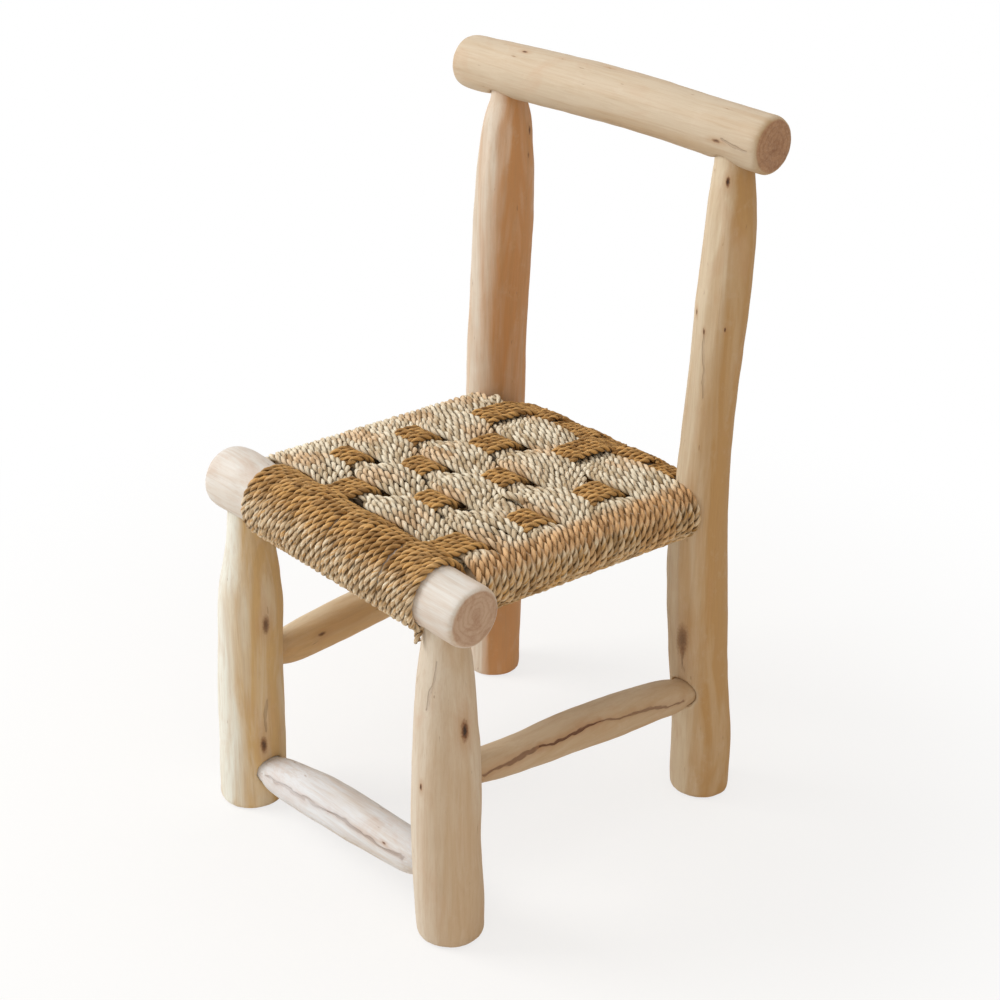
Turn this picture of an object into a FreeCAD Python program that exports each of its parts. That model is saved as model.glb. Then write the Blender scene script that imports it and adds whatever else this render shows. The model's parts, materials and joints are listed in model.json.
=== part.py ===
import FreeCAD
import Part
import Sketcher
import math
import os
import re

# Child chair of peeled round logs with a woven rope seat.
# Millimetres. Seen from the front, X runs to the viewer's right, Y to the back and
# Z up. The origin is on the floor, midway between the four feet.

Vector = FreeCAD.Vector
Rotation = FreeCAD.Rotation
doc = FreeCAD.newDocument("child_chair")
sheet = doc.addObject("Spreadsheet::Sheet", "Sizes")

SIZES = {
    # Feet
    "front_foot_spread": 223.4,
    "rear_foot_spread": 237.2,
    "front_foot_depth": 129.53,
    "rear_foot_depth": 133.37,
    # Log radii
    "front_leg_left_radius": 25.1,
    "front_leg_right_radius": 24.4,
    "back_post_left_radius": 23.6,
    "back_post_right_radius": 23.1,
    "front_rail_radius": 22.4,
    "crest_radius": 20.0,
    "front_stretcher_radius": 17.4,
    "left_stretcher_radius": 16.2,
    "right_stretcher_radius": 15.7,
    "side_rail_radius": 17.4,
    "rear_rail_radius": 15.0,
    # Front seat rail
    "front_rail_height": 268.1,
    "front_rail_left_rise": 3.6,
    "front_rail_setback": 2.8,
    "front_rail_left_reach": 127.0,
    "front_rail_right_reach": 136.1,
    # Crest rail
    "crest_height": 530.0,
    "crest_setin": 6.3,
    "crest_left_reach": 147.1,
    "crest_right_reach": 147.1,
    # Seat rails under the rope
    "side_rail_front_drop": 3.2,
    "side_rail_rear_height": 251.0,
    "side_rail_front_spread": 205.0,
    "side_rail_rear_spread": 212.0,
    "rear_rail_height": 246.6,
    "rear_rail_setin": 6.5,
    # Stretchers
    "front_stretcher_left_height": 32.0,
    "front_stretcher_right_height": 46.5,
    "left_stretcher_height": 119.0,
    "right_stretcher_front_height": 126.2,
    "right_stretcher_rear_height": 95.2,
    # Round tenons and their blind mortises
    "leg_tenon_radius": 15.6,
    "leg_tenon_length": 11.5,
    "post_tenon_radius": 13.4,
    "post_tenon_length": 20.0,
    "stretcher_tenon_radius": 11.5,
    "stretcher_tenon_length": 20.0,
    "seat_tenon_radius": 8.0,
    "seat_tenon_length": 10.0,
    "rear_tenon_length": 18.0,
    "tenon_show": 1.5,
    "joint_clearance": 0.1,
    "mortise_end_gap": 0.5,
    # Rounded ends
    "foot_round": 3.0,
    "rail_end_round": 3.5,
    "crest_end_round": 4.5,
    # Rope
    "rope_diameter": 4.2,
    "rope_band_thickness": 5.2,
    "rope_clearance": 0.3,
    "warp_width": 22.4,
    "warp_a_left": 72.7,
    "warp_b_left": 28.7,
    "warp_c_right": 19.9,
    "warp_d_right": 74.3,
    "front_wrap_reach": 101.2,
    "weft_front_edge": 101.58,
    "weft_rear_edge": 103.42,
    "weft_gap": 1.2,
    "warp_turn_radius": 6.0,
    "warp_bend_inset": 4.7,
}

for row, (alias, number) in enumerate(SIZES.items(), start=1):
    sheet.set(f"A{row}", alias)
    sheet.set(f"B{row}", str(number))
    sheet.setAlias(f"B{row}", alias)
doc.recompute()


def size(alias):
    """The number held by one cell of the sheet."""
    return float(sheet.get(alias))


def cells(text):
    """An expression over size names, written for the sheet."""
    return re.sub(r"\b(?!(?:sqrt|abs|max)\b)[a-z][a-z_]*[a-z]\b",
                  lambda word: "Sizes." + word.group(0), text)


def worth(text):
    """The value now of an expression over size names."""
    total = sheet.evalExpression(cells(text))
    return float(getattr(total, "Value", total))


# Turns that lay a log's own Z axis along the chair's axes
TURNS = {
    "x": Rotation(Vector(0, 1, 0), 90),
    "y": Rotation(Vector(1, 0, 0), -90),
    "z": Rotation(),
}


class Log:
    """A peeled log, lofted through round sections along one of the chair's axes.

    start and end are the middles of its two shoulders, as three expressions each.
    Each station gives shares: how far along, the radius, and two sways. Along X
    and Y the sways are back and up; on an upright they are right and back. The
    second sway of an upright is a share of its lean and the others are shares
    of the log's radius. seam turns the sections, so that no mortise meets the seam.
    """

    def __init__(self, name, axis, start, end, radius, stations, tenons=(None, None), seam=180):
        self.name = name
        self.axis = axis
        self.start = start
        self.end = end
        self.radius = radius
        self.stations = stations
        self.tenons = tenons
        self.seam = seam

    def along(self):
        place = "xyz".index(self.axis)
        return f"(({self.end[place]}) - ({self.start[place]}))"

    def cross(self):
        """The run, in the two directions across the log, from start to end."""
        first, second = {"x": (1, 2), "y": (0, 2), "z": (0, 1)}[self.axis]
        return (f"(({self.end[first]}) - ({self.start[first]}))",
                f"(({self.end[second]}) - ({self.start[second]}))")

    def sway(self, share, first_sway, second_sway):
        """Expressions for the offsets across the log at a station."""
        first_run, second_run = self.cross()
        if self.axis == "z":
            return f"{self.radius} * {first_sway}", f"{second_run} * {second_sway}"
        return (f"{first_run} * {share} + {self.radius} * {first_sway}",
                f"{second_run} * {share} + {self.radius} * {second_sway}")

    def local(self, first, second):
        """The same two offsets in the turned frame of the log's body."""
        return {"x": (f"-({second})", first),
                "y": (first, f"-({second})"),
                "z": (first, second)}[self.axis]

    def at(self, height_share):
        """Shares of radius and sways between the stations, at a height."""
        for low, high in zip(self.stations, self.stations[1:]):
            if height_share <= high[0]:
                break
        part = (height_share - low[0]) / (high[0] - low[0])
        return [a + (b - a) * part for a, b in zip(low, high)]

    def centre_at(self, height):
        """Expressions for the middle of an upright at a height, with its radius."""
        share, radius_share, first_sway, second_sway = self.at(worth(height) / worth(self.along()))
        first, second = self.sway(share, round(first_sway, 4), round(second_sway, 4))
        return (f"({self.start[0]}) + {first}", f"({self.start[1]}) + {second}",
                f"({self.radius} * {round(radius_share, 4)})")


def bind_place(feature, place, turn):
    """Turn a feature, then tie its place to the sheet."""
    feature.Placement = FreeCAD.Placement(Vector(), turn)
    for letter, text in zip("xyz", place):
        feature.setExpression(f"Placement.Base.{letter}", cells(text))


def round_sketch(body, name, radius, offset, seam):
    """A circle across the log, its middle and its size tied to the sheet."""
    plane = next(f for f in body.Origin.OriginFeatures if f.Role == "XY_Plane")
    sketch = body.newObject("Sketcher::SketchObject", name)
    sketch.AttachmentSupport = (plane, [""])
    sketch.MapMode = "FlatFace"
    sketch.AttachmentOffset = FreeCAD.Placement(Vector(), Rotation(Vector(0, 0, 1), seam))
    circle = sketch.addGeometry(Part.Circle(Vector(), Vector(0, 0, 1), worth(radius)))
    sketch.addConstraint(Sketcher.Constraint("Coincident", circle, 3, -1, 1))
    sketch.addConstraint(Sketcher.Constraint("Radius", circle, worth(radius)))
    sketch.renameConstraint(1, "radius")
    sketch.setExpression("Constraints.radius", cells(radius))
    for letter, text in zip("xyz", offset):
        sketch.setExpression(f"AttachmentOffset.Base.{letter}", cells(text))
    return sketch


def ring_at(body, log, name, station, radius, along):
    """One section of a log, swayed as its station says."""
    first, second = log.local(*log.sway(*[station[place] for place in (0, 2, 3)]))
    return round_sketch(body, f"{log.name}_{name}", radius, (first, second, along), log.seam)


def plain_rings(log, bends):
    """Stations of a log as (along, radius, station), with bridges beside its rounds."""
    length = worth(log.along())
    rings = [(f"{log.along()} * {station[0]}", f"{log.radius} * {station[1]}", station)
             for station in log.stations]
    taken = [station[0] * length for station in log.stations]
    for bend, start, inward in zip(bends, (0, length), (1, -1)):
        for bridge_share in BRIDGE_SHARES if bend else ():
            spot = start + inward * worth(bend) * bridge_share
            if min(abs(spot - other) for other in taken) > worth(bend):
                station = [round(share, 4) for share in log.at(spot / length)]
                place = log.along() if start else "0"
                rings.append((f"{place} + {bend} * {inward * bridge_share}",
                              f"{log.radius} * {station[1]}", station))
    return sorted(rings, key=lambda ring: worth(ring[0]))


def build_log(log, start_round=None, end_round=None):
    """The log's body: a loft through its stations, with round ends and tenons."""
    body = doc.addObject("PartDesign::Body", f"{log.name}_log")
    bind_place(body, log.start, TURNS[log.axis])
    sections = plain_rings(log, (start_round, end_round))
    if start_round:
        along, radius, station = sections.pop(0)
        sections = [(f"{along} + {start_round} * {in_share}",
                     f"{radius} - {start_round} * {off_share}", station)
                    for in_share, off_share in END_ROUND_SHARES] + sections
    if end_round:
        along, radius, station = sections.pop()
        sections += [(f"{along} - {end_round} * {in_share}",
                      f"{radius} - {end_round} * {off_share}", station)
                     for in_share, off_share in reversed(END_ROUND_SHARES)]
    rings = [ring_at(body, log, f"ring_{index}", station, radius, along)
             for index, (along, radius, station) in enumerate(sections)]
    loft = body.newObject("PartDesign::AdditiveLoft", f"{log.name}_loft")
    loft.Profile = rings[0]
    loft.Sections = rings[1:]
    for index, tenon in enumerate(log.tenons):
        if tenon is None:
            continue
        radius, length = tenon
        profile = ring_at(body, log, f"tenon_sketch_{index}", log.stations[-1 if index else 0], radius,
                          f"{log.along()} * {index}")
        tongue = body.newObject("PartDesign::Pad", f"{log.name}_tenon_{index}")
        tongue.Profile = profile
        tongue.Reversed = index == 0
        tongue.setExpression("Length", cells(length))
    return body


def mortise(log, index):
    """The round hole that takes one of the log's tenons, with its clearances."""
    radius, length = log.tenons[index]
    station = log.stations[-1 if index else 0]
    first, second = log.sway(station[0], station[2], station[3])
    places = {"x": 0, "y": 1, "z": 2}
    main = places[log.axis]
    across = [place for place in range(3) if place != main]
    place = list(log.start)
    place[across[0]] = f"({log.start[across[0]]}) + {first}"
    place[across[1]] = f"({log.start[across[1]]}) + {second}"
    if index == 0:
        place[main] = f"({log.start[main]}) - {length} - mortise_end_gap"
    else:
        place[main] = log.end[main]
    hole = doc.addObject("Part::Cylinder", f"{log.name}_mortise_{index}")
    hole.setExpression("Radius", cells(f"{radius} + joint_clearance"))
    hole.setExpression("Height", cells(f"{length} + mortise_end_gap"))
    bind_place(hole, place, TURNS[log.axis])
    return hole


def bored(body, holes, label):
    """A log with the mortises of the logs that it holds."""
    if not holes:
        body.Label = label
        return body
    tool = holes[0]
    if len(holes) > 1:
        tool = doc.addObject("Part::MultiFuse", f"{label}_mortises")
        tool.Shapes = holes
    node = doc.addObject("Part::Cut", f"{label}_bored")
    node.Base = body
    node.Tool = tool
    node.Label = label
    return node


# A rounded end: how far in from the end, and how much smaller, in its round
END_ROUND_SHARES = [(0.00, 0.95), (0.12, 0.52), (0.40, 0.18), (1.00, 0.00)]
# Sections beside a rounded end, so that the log runs true from it
BRIDGE_SHARES = (2.5, 6.0)
# Stations: share along, radius, and the two sways
FRONT_LEG_LEFT_SHARES = [
    (0.00, 1.02, -0.02, -1.00), (0.20, 1.02, -0.02, -0.30), (0.42, 1.00, 0.01, 0.00),
    (0.62, 0.97, 0.10, 0.40), (0.74, 0.95, 0.155, 0.70), (0.82, 0.86, 0.20, 0.90),
    (0.88, 0.77, 0.24, 1.00), (0.94, 0.69, 0.26, 1.00), (1.00, 0.64, 0.26, 1.00)]
FRONT_LEG_RIGHT_SHARES = [
    (0.00, 0.99, 0.02, 1.00), (0.12, 1.01, 0.03, 0.50), (0.32, 0.995, -0.08, 0.30),
    (0.52, 0.99, -0.08, 0.50), (0.62, 0.955, -0.107, 0.60), (0.72, 0.895, -0.14, 0.70),
    (0.82, 0.83, -0.165, 0.90), (0.92, 0.733, -0.177, 1.00), (1.00, 0.66, -0.177, 1.00)]
BACK_POST_LEFT_SHARES = [
    (0.00, 0.97, 0.00, 0.00), (0.30, 0.98, 0.04, 0.30), (0.45, 1.01, 0.07, 0.45),
    (0.59, 1.01, 0.12, 0.59), (0.70, 0.98, 0.28, 0.72), (0.79, 0.99, 0.41, 0.80),
    (0.87, 0.95, 0.50, 0.88), (0.93, 0.88, 0.58, 0.93), (0.97, 0.75, 0.64, 0.98),
    (1.00, 0.57, 0.66, 1.00)]
BACK_POST_RIGHT_SHARES = [
    (0.00, 1.01, 0.00, -0.20), (0.12, 1.00, -0.06, 0.10), (0.24, 0.98, -0.28, 0.60),
    (0.32, 1.00, -0.39, 0.85), (0.40, 0.98, -0.48, 1.10), (0.49, 0.885, -0.46, 1.30),
    (0.57, 0.82, -0.43, 1.30), (0.68, 0.79, -0.33, 1.25), (0.79, 0.815, -0.22, 1.15),
    (0.87, 0.79, -0.14, 1.10), (0.93, 0.76, -0.14, 1.05), (0.97, 0.68, -0.17, 1.00),
    (1.00, 0.60, -0.18, 1.00)]
FRONT_RAIL_SHARES = [
    (0.00, 1.04, 0.00, 0.02), (0.04, 1.07, 0.00, 0.04), (0.10, 1.055, 0.00, 0.04),
    (0.155, 0.99, 0.00, 0.00), (0.30, 0.97, 0.00, 0.00), (0.46, 0.97, 0.00, 0.00),
    (0.65, 0.98, 0.00, 0.00), (0.92, 0.98, 0.00, 0.00), (1.00, 0.965, 0.00, 0.00)]
CREST_SHARES = [
    (0.00, 0.97, 0.00, -0.11), (0.05, 1.00, 0.00, -0.10), (0.16, 1.00, 0.00, -0.03),
    (0.40, 0.995, 0.00, 0.09), (0.60, 0.98, 0.00, 0.12), (0.78, 0.96, 0.00, 0.05),
    (0.93, 0.98, 0.00, -0.02), (1.00, 1.00, 0.00, -0.05)]
FRONT_STRETCHER_SHARES = [
    (0.00, 0.72, 0.00, 0.00), (0.04, 0.82, 0.00, 0.00), (0.12, 0.90, 0.00, 0.03),
    (0.32, 1.01, 0.00, 0.09), (0.60, 1.00, 0.00, 0.06), (0.86, 0.92, 0.00, 0.02),
    (0.96, 0.84, 0.00, 0.00), (1.00, 0.72, 0.00, 0.00)]
LEFT_STRETCHER_SHARES = [
    (0.00, 0.73, 0.00, 0.00), (0.05, 0.88, 0.00, 0.00), (0.15, 0.96, 0.00, 0.02),
    (0.35, 1.01, 0.00, 0.05), (0.65, 0.98, 0.00, 0.03), (0.88, 0.93, 0.00, 0.00),
    (0.96, 0.84, 0.00, 0.00), (1.00, 0.73, 0.00, 0.00)]
RIGHT_STRETCHER_SHARES = [
    (0.00, 0.73, 0.00, 0.00), (0.04, 0.80, 0.00, 0.00), (0.16, 0.86, 0.00, -0.04),
    (0.32, 0.93, 0.00, 0.02), (0.55, 1.00, 0.00, 0.08), (0.74, 0.99, 0.00, 0.08),
    (0.90, 0.93, 0.00, 0.04), (0.97, 0.84, 0.00, 0.00), (1.00, 0.73, 0.00, 0.00)]
SIDE_RAIL_SHARES = [
    (0.00, 0.48, 0.00, 0.00), (0.03, 0.78, 0.00, 0.00), (0.06, 0.92, 0.00, 0.00),
    (0.12, 0.955, 0.00, 0.00), (0.25, 0.97, 0.00, 0.00), (0.50, 1.00, 0.00, 0.00),
    (0.75, 1.03, 0.00, 0.00), (0.88, 1.045, 0.00, 0.00), (0.94, 1.03, 0.00, 0.00),
    (0.97, 0.88, 0.00, 0.00), (1.00, 0.50, 0.00, 0.00)]
REAR_RAIL_SHARES = [
    (0.00, 0.56, 0.00, 0.00), (0.03, 0.84, 0.00, 0.00), (0.06, 0.97, 0.00, 0.00),
    (0.12, 1.00, 0.00, 0.00), (0.25, 1.00, 0.00, 0.00), (0.50, 1.00, 0.00, 0.00),
    (0.75, 1.00, 0.00, 0.00), (0.88, 1.00, 0.00, 0.00), (0.94, 0.97, 0.00, 0.00),
    (0.97, 0.84, 0.00, 0.00), (1.00, 0.56, 0.00, 0.00)]

FLOOR = "0"
FRONT_FOOT_Y = "-front_foot_depth"
REAR_FOOT_Y = "rear_foot_depth"
FRONT_RAIL_Y = "(-front_foot_depth + front_rail_setback)"
CREST_Y = "(rear_foot_depth - crest_setin)"
REAR_RAIL_Y = "(rear_foot_depth - rear_rail_setin)"
POST_TOP = "(crest_height - crest_radius - tenon_show)"


def front_rail_line(x_text):
    """The height of the front rail's middle at a place along it; its left end is higher."""
    return ("(front_rail_height + front_rail_left_rise * (front_rail_right_reach - "
            f"({x_text})) / (front_rail_left_reach + front_rail_right_reach))")


# Uprights: the second sway leans each one towards the log on its top
front_legs = {}
for side, sign, seam, rail_share, shares in (("left", "-", 180, 1.04, FRONT_LEG_LEFT_SHARES),
                                             ("right", "", 0, 1, FRONT_LEG_RIGHT_SHARES)):
    foot_x = f"{sign}front_foot_spread / 2"
    leg_top = f"({front_rail_line(foot_x)} - front_rail_radius * {rail_share} - tenon_show)"
    front_legs[side] = Log(
        f"front_leg_{side}", "z", (foot_x, FRONT_FOOT_Y, FLOOR), (foot_x, FRONT_RAIL_Y, leg_top),
        f"front_leg_{side}_radius", shares, (None, ("leg_tenon_radius", "leg_tenon_length")), seam)
back_posts = {}
for side, sign, seam, shares in (("left", "-", 180, BACK_POST_LEFT_SHARES),
                                 ("right", "", 0, BACK_POST_RIGHT_SHARES)):
    foot_x = f"{sign}rear_foot_spread / 2"
    back_posts[side] = Log(
        f"back_post_{side}", "z", (foot_x, REAR_FOOT_Y, FLOOR), (foot_x, CREST_Y, POST_TOP),
        f"back_post_{side}_radius", shares, (None, ("post_tenon_radius", "post_tenon_length")), seam)

# Logs laid across the tops of the uprights
front_rail = Log(
    "front_seat_rail", "x",
    ("-front_rail_left_reach", FRONT_RAIL_Y, "front_rail_height + front_rail_left_rise"),
    ("front_rail_right_reach", FRONT_RAIL_Y, "front_rail_height"),
    "front_rail_radius", FRONT_RAIL_SHARES)
crest = Log(
    "crest_rail", "x",
    ("-crest_left_reach", CREST_Y, "crest_height"),
    ("crest_right_reach", CREST_Y, "crest_height"),
    "crest_radius", CREST_SHARES)


def inset(host_radius, offset, tenon_radius):
    """How far a round host's skin stands out, where a tenon goes in off its middle."""
    return f"sqrt({host_radius}^2 - max(abs({offset}) - {tenon_radius}; 0)^2)"


def cross_log(name, hosts, heights, radius, shares, tenon, y_text=None):
    """A log along X between two uprights, from skin to skin."""
    (left_x, left_y, left_r), (right_x, right_y, right_r) = [
        host.centre_at(height) for host, height in zip(hosts, heights)]
    starts_y = y_text or left_y
    ends_y = y_text or right_y
    left_skin = inset(left_r, f"({left_y}) - ({starts_y})", tenon[0])
    right_skin = inset(right_r, f"({right_y}) - ({ends_y})", tenon[0])
    start = (f"({left_x}) + {left_skin} + tenon_show", starts_y, heights[0])
    end = (f"({right_x}) - {right_skin} - tenon_show", ends_y, heights[1])
    return Log(name, "x", start, end, radius, shares, (tenon, tenon))


def side_log(name, hosts, heights, radius, shares, tenon):
    """A log along Y between a front leg and a back post, from skin to skin."""
    (front_x, front_y, front_r), (rear_x, rear_y, rear_r) = [
        host.centre_at(height) for host, height in zip(hosts, heights)]
    start = (front_x, f"({front_y}) + {front_r} + tenon_show", heights[0])
    end = (rear_x, f"({rear_y}) - {rear_r} - tenon_show", heights[1])
    return Log(name, "y", start, end, radius, shares, (tenon, tenon))


STRETCHER_TENON = ("stretcher_tenon_radius", "stretcher_tenon_length")
SEAT_TENON = ("seat_tenon_radius", "seat_tenon_length")
REAR_TENON = ("seat_tenon_radius", "rear_tenon_length")

front_stretcher = cross_log(
    "front_stretcher", (front_legs["left"], front_legs["right"]),
    ("front_stretcher_left_height", "front_stretcher_right_height"),
    "front_stretcher_radius", FRONT_STRETCHER_SHARES, STRETCHER_TENON)
rear_rail = cross_log(
    "rear_seat_rail", (back_posts["left"], back_posts["right"]),
    ("rear_rail_height", "rear_rail_height"),
    "rear_rail_radius", REAR_RAIL_SHARES, REAR_TENON, REAR_RAIL_Y)
left_stretcher = side_log(
    "side_stretcher_left", (front_legs["left"], back_posts["left"]),
    ("left_stretcher_height", "left_stretcher_height"),
    "left_stretcher_radius", LEFT_STRETCHER_SHARES, STRETCHER_TENON)
right_stretcher = side_log(
    "side_stretcher_right", (front_legs["right"], back_posts["right"]),
    ("right_stretcher_front_height", "right_stretcher_rear_height"),
    "right_stretcher_radius", RIGHT_STRETCHER_SHARES, STRETCHER_TENON)

side_rails = {}
for side, sign in (("left", "-"), ("right", "")):
    front_x = f"{sign}side_rail_front_spread / 2"
    rear_x = f"{sign}side_rail_rear_spread / 2"
    post_x, post_y, post_r = back_posts[side].centre_at("side_rail_rear_height")
    start = (front_x, f"{FRONT_RAIL_Y} + front_rail_radius + tenon_show",
             f"{front_rail_line(FLOOR)} - side_rail_front_drop")
    post_skin = inset(post_r, f"({post_x}) - ({rear_x})", "seat_tenon_radius")
    end = (rear_x, f"({post_y}) - {post_skin} - tenon_show", "side_rail_rear_height")
    side_rails[side] = Log(f"side_seat_rail_{side}", "y", start, end, "side_rail_radius",
                           SIDE_RAIL_SHARES, (SEAT_TENON, SEAT_TENON))

# Which log is bored for which tenons
NO_HOLES = []
nodes = [
    bored(build_log(front_legs["left"], "foot_round"),
          [mortise(front_stretcher, 0), mortise(left_stretcher, 0)], "front_leg_left"),
    bored(build_log(front_legs["right"], "foot_round"),
          [mortise(front_stretcher, 1), mortise(right_stretcher, 0)], "front_leg_right"),
    bored(build_log(back_posts["left"], "foot_round"),
          [mortise(rear_rail, 0), mortise(left_stretcher, 1), mortise(side_rails["left"], 1)],
          "back_post_left"),
    bored(build_log(back_posts["right"], "foot_round"),
          [mortise(rear_rail, 1), mortise(right_stretcher, 1), mortise(side_rails["right"], 1)],
          "back_post_right"),
    bored(build_log(front_rail, "rail_end_round", "rail_end_round"),
          [mortise(front_legs["left"], 1), mortise(front_legs["right"], 1),
           mortise(side_rails["left"], 0), mortise(side_rails["right"], 0)],
          "front_seat_rail"),
    bored(build_log(crest, "crest_end_round", "crest_end_round"),
          [mortise(back_posts["left"], 1), mortise(back_posts["right"], 1)], "crest_rail"),
    bored(build_log(front_stretcher), NO_HOLES, "front_stretcher"),
    bored(build_log(left_stretcher), NO_HOLES, "side_stretcher_left"),
    bored(build_log(right_stretcher), NO_HOLES, "side_stretcher_right"),
    bored(build_log(rear_rail), NO_HOLES, "rear_seat_rail"),
    bored(build_log(side_rails["left"]), NO_HOLES, "side_seat_rail_left"),
    bored(build_log(side_rails["right"]), NO_HOLES, "side_seat_rail_right"),
]
doc.recompute()

# The woven seat
front_y = worth(FRONT_RAIL_Y)
rear_y = worth(REAR_RAIL_Y)
rear_z = size("rear_rail_height")
band = size("rope_band_thickness")
skin = size("rope_clearance")
side_radius = size("side_rail_radius")
rear_radius = size("rear_rail_radius")
# The front rail slopes, so a level band needs this much room round it
front_slack = skin + 0.1
weave_front = -size("weft_front_edge")
weave_rear = size("weft_rear_edge")

# Width of each weft band, front to back: the back ones are the wider
WEFT_WIDTH_SHARES = (0.150, 0.150, 0.155, 0.165, 0.180, 0.200)
# Turns of rope between the warp bands, along the front and the back rail
FILLER_TURNS = (4, 5, 6)
# The fattest that a side rail is inside the weave, front and rear, in shares of its radius
SIDE_RAIL_SPAN_SHARES = (0.955, 1.05)
# The last wrap's start above the back of the rail, and its sweep, in turns
END_WRAP_TURN_SHARES = (0.14, 0.49)


def rail_middle(side, y):
    """The middle of a side rail at a depth of the seat."""
    start = Vector(*[worth(text) for text in side_rails[side].start])
    end = Vector(*[worth(text) for text in side_rails[side].end])
    return start + (end - start) * ((y - start.y) / (end.y - start.y))


def seat_line(y):
    """Half spread and height of the side rails, taken together, at a depth."""
    left = rail_middle("left", y)
    right = rail_middle("right", y)
    return (right.x - left.x) / 2, (left.z + right.z) / 2


def side_reach(y):
    """The radius of the side rails at a depth, where the rope goes round them."""
    share = (y - weave_front) / (weave_rear - weave_front)
    front_share, rear_share = SIDE_RAIL_SPAN_SHARES
    return side_radius * (front_share + (rear_share - front_share) * share)


def front_z(x):
    """The height of the front rail's middle under one place of the seat."""
    return worth(front_rail_line(x))


def corner_arc(before, point, after, radius):
    """Start, middle and end of the arc that rounds a corner."""
    arrive = (point - before).normalize()
    leave = (after - point).normalize()
    turn = arrive.getAngle(leave)
    reach = radius * math.tan(turn / 2)
    inward = (leave - arrive).normalize()
    middle = point + inward * (radius / math.cos(turn / 2) - radius)
    return point - arrive * reach, middle, point + leave * reach


def touch_point(centre, radius, outside, sign):
    """Where a line from a point outside touches a circle in the YZ plane."""
    away = outside - centre
    angle = sign * math.acos(radius / away.Length)
    return centre + Rotation(Vector(1, 0, 0), math.degrees(angle)).multVec(away.normalize() * radius)


def round_the_rail(centre, radius, before, after):
    """Start, middle and end of the arc of a loop that goes round a rail."""
    first = touch_point(centre, radius, before, -1)
    last = touch_point(centre, radius, after, 1)
    back = (before + after) / 2 - centre
    middle = centre - back.normalize() * radius
    return first, middle, last


def wire_of(arcs):
    """A closed wire of the arcs, in order, and the straight lines between them."""
    edges = []
    for index, (first, middle, last) in enumerate(arcs):
        start = arcs[(index + 1) % len(arcs)][0]
        edges.append(Part.Arc(first, middle, last).toShape())
        edges.append(Part.LineSegment(last, start).toShape())
    return Part.Wire(edges)


def loop_band(path, thickness, shift, width_vector):
    """A flat band of rope turns: the loop given a thickness and a width."""
    skins = [path.makeOffset2D(thickness / 2 * side) for side in (-1, 1)]
    face = Part.makeFace(skins, "Part::FaceMakerBullseye")
    face.translate(shift)
    return face.extrude(width_vector)


def weft_rows():
    """Front edge, back edge and slope line of each weft band."""
    total = weave_rear - weave_front
    rows = []
    start = weave_front
    for width_share in WEFT_WIDTH_SHARES:
        end = start + total * width_share
        rows.append((start, end))
        start = end
    return rows


def weft_band(start, end):
    """One weft band, wound over both side rails and flat between them."""
    gap = size("weft_gap")
    low_y = start + gap / 2
    high_y = end - gap / 2
    half_front, height_front = seat_line(low_y)
    half_rear, height_rear = seat_line(high_y)
    splay = abs(half_rear - half_front) / 2
    radius = side_reach(high_y) + skin + splay + band / 2
    up = Vector(0, 0, radius)
    arcs = []
    for sign, side in ((-1, "left"), (1, "right")):
        middle = Vector(rail_middle(side, (low_y + high_y) / 2).x, 0, height_front)
        arcs.append((middle - up * sign * -1, middle + Vector(sign * radius, 0, 0),
                     middle + up * sign * -1))
    run = Vector(0, high_y - low_y, height_rear - height_front)
    return loop_band(wire_of(arcs), band, Vector(0, low_y, 0), run)


def warp_path(middle_x, over_odd_rows):
    """The loop of a warp band in the YZ plane, over and under the weft bands."""
    step = band + skin * 2
    turn = size("warp_turn_radius")
    top = []
    bottom = []
    for index, (start, end) in enumerate(weft_rows()):
        over = (index % 2 == 0) == over_odd_rows
        rise = step if over else -step
        reach = side_reach(end) + skin + band / 2
        for y in (start + size("warp_bend_inset"), end - size("warp_bend_inset")):
            height = seat_line(y)[1]
            top.append(Vector(0, y, height + reach + rise))
            bottom.append(Vector(0, y, height - reach - rise))
    bottom.reverse()
    front = (Vector(0, front_y, front_z(middle_x)), size("front_rail_radius") + front_slack + band / 2)
    rear = (Vector(0, rear_y, rear_z), rear_radius + skin + band / 2)
    arcs = [round_the_rail(*front, bottom[-1], top[0])]
    for points, arrive, leave in ((top, front, rear), (bottom, rear, front)):
        ends = [touch_point(*arrive, points[0], 1)] + points + [touch_point(*leave, points[-1], -1)]
        for before, point, after in zip(ends, points, ends[2:]):
            arcs.append(corner_arc(before, point, after, turn))
        if points is top:
            arcs.append(round_the_rail(*rear, top[-1], bottom[0]))
    return wire_of(arcs)


def warp_band(middle_x, over_odd_rows, extra):
    """One warp band; extra makes it fatter, to cut its room out of the wefts."""
    width = size("warp_width") + extra * 2
    shift = Vector(middle_x - width / 2, 0, 0)
    path = warp_path(middle_x, over_odd_rows)
    return loop_band(path, band + extra * 2, shift, Vector(width, 0, 0))


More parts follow.
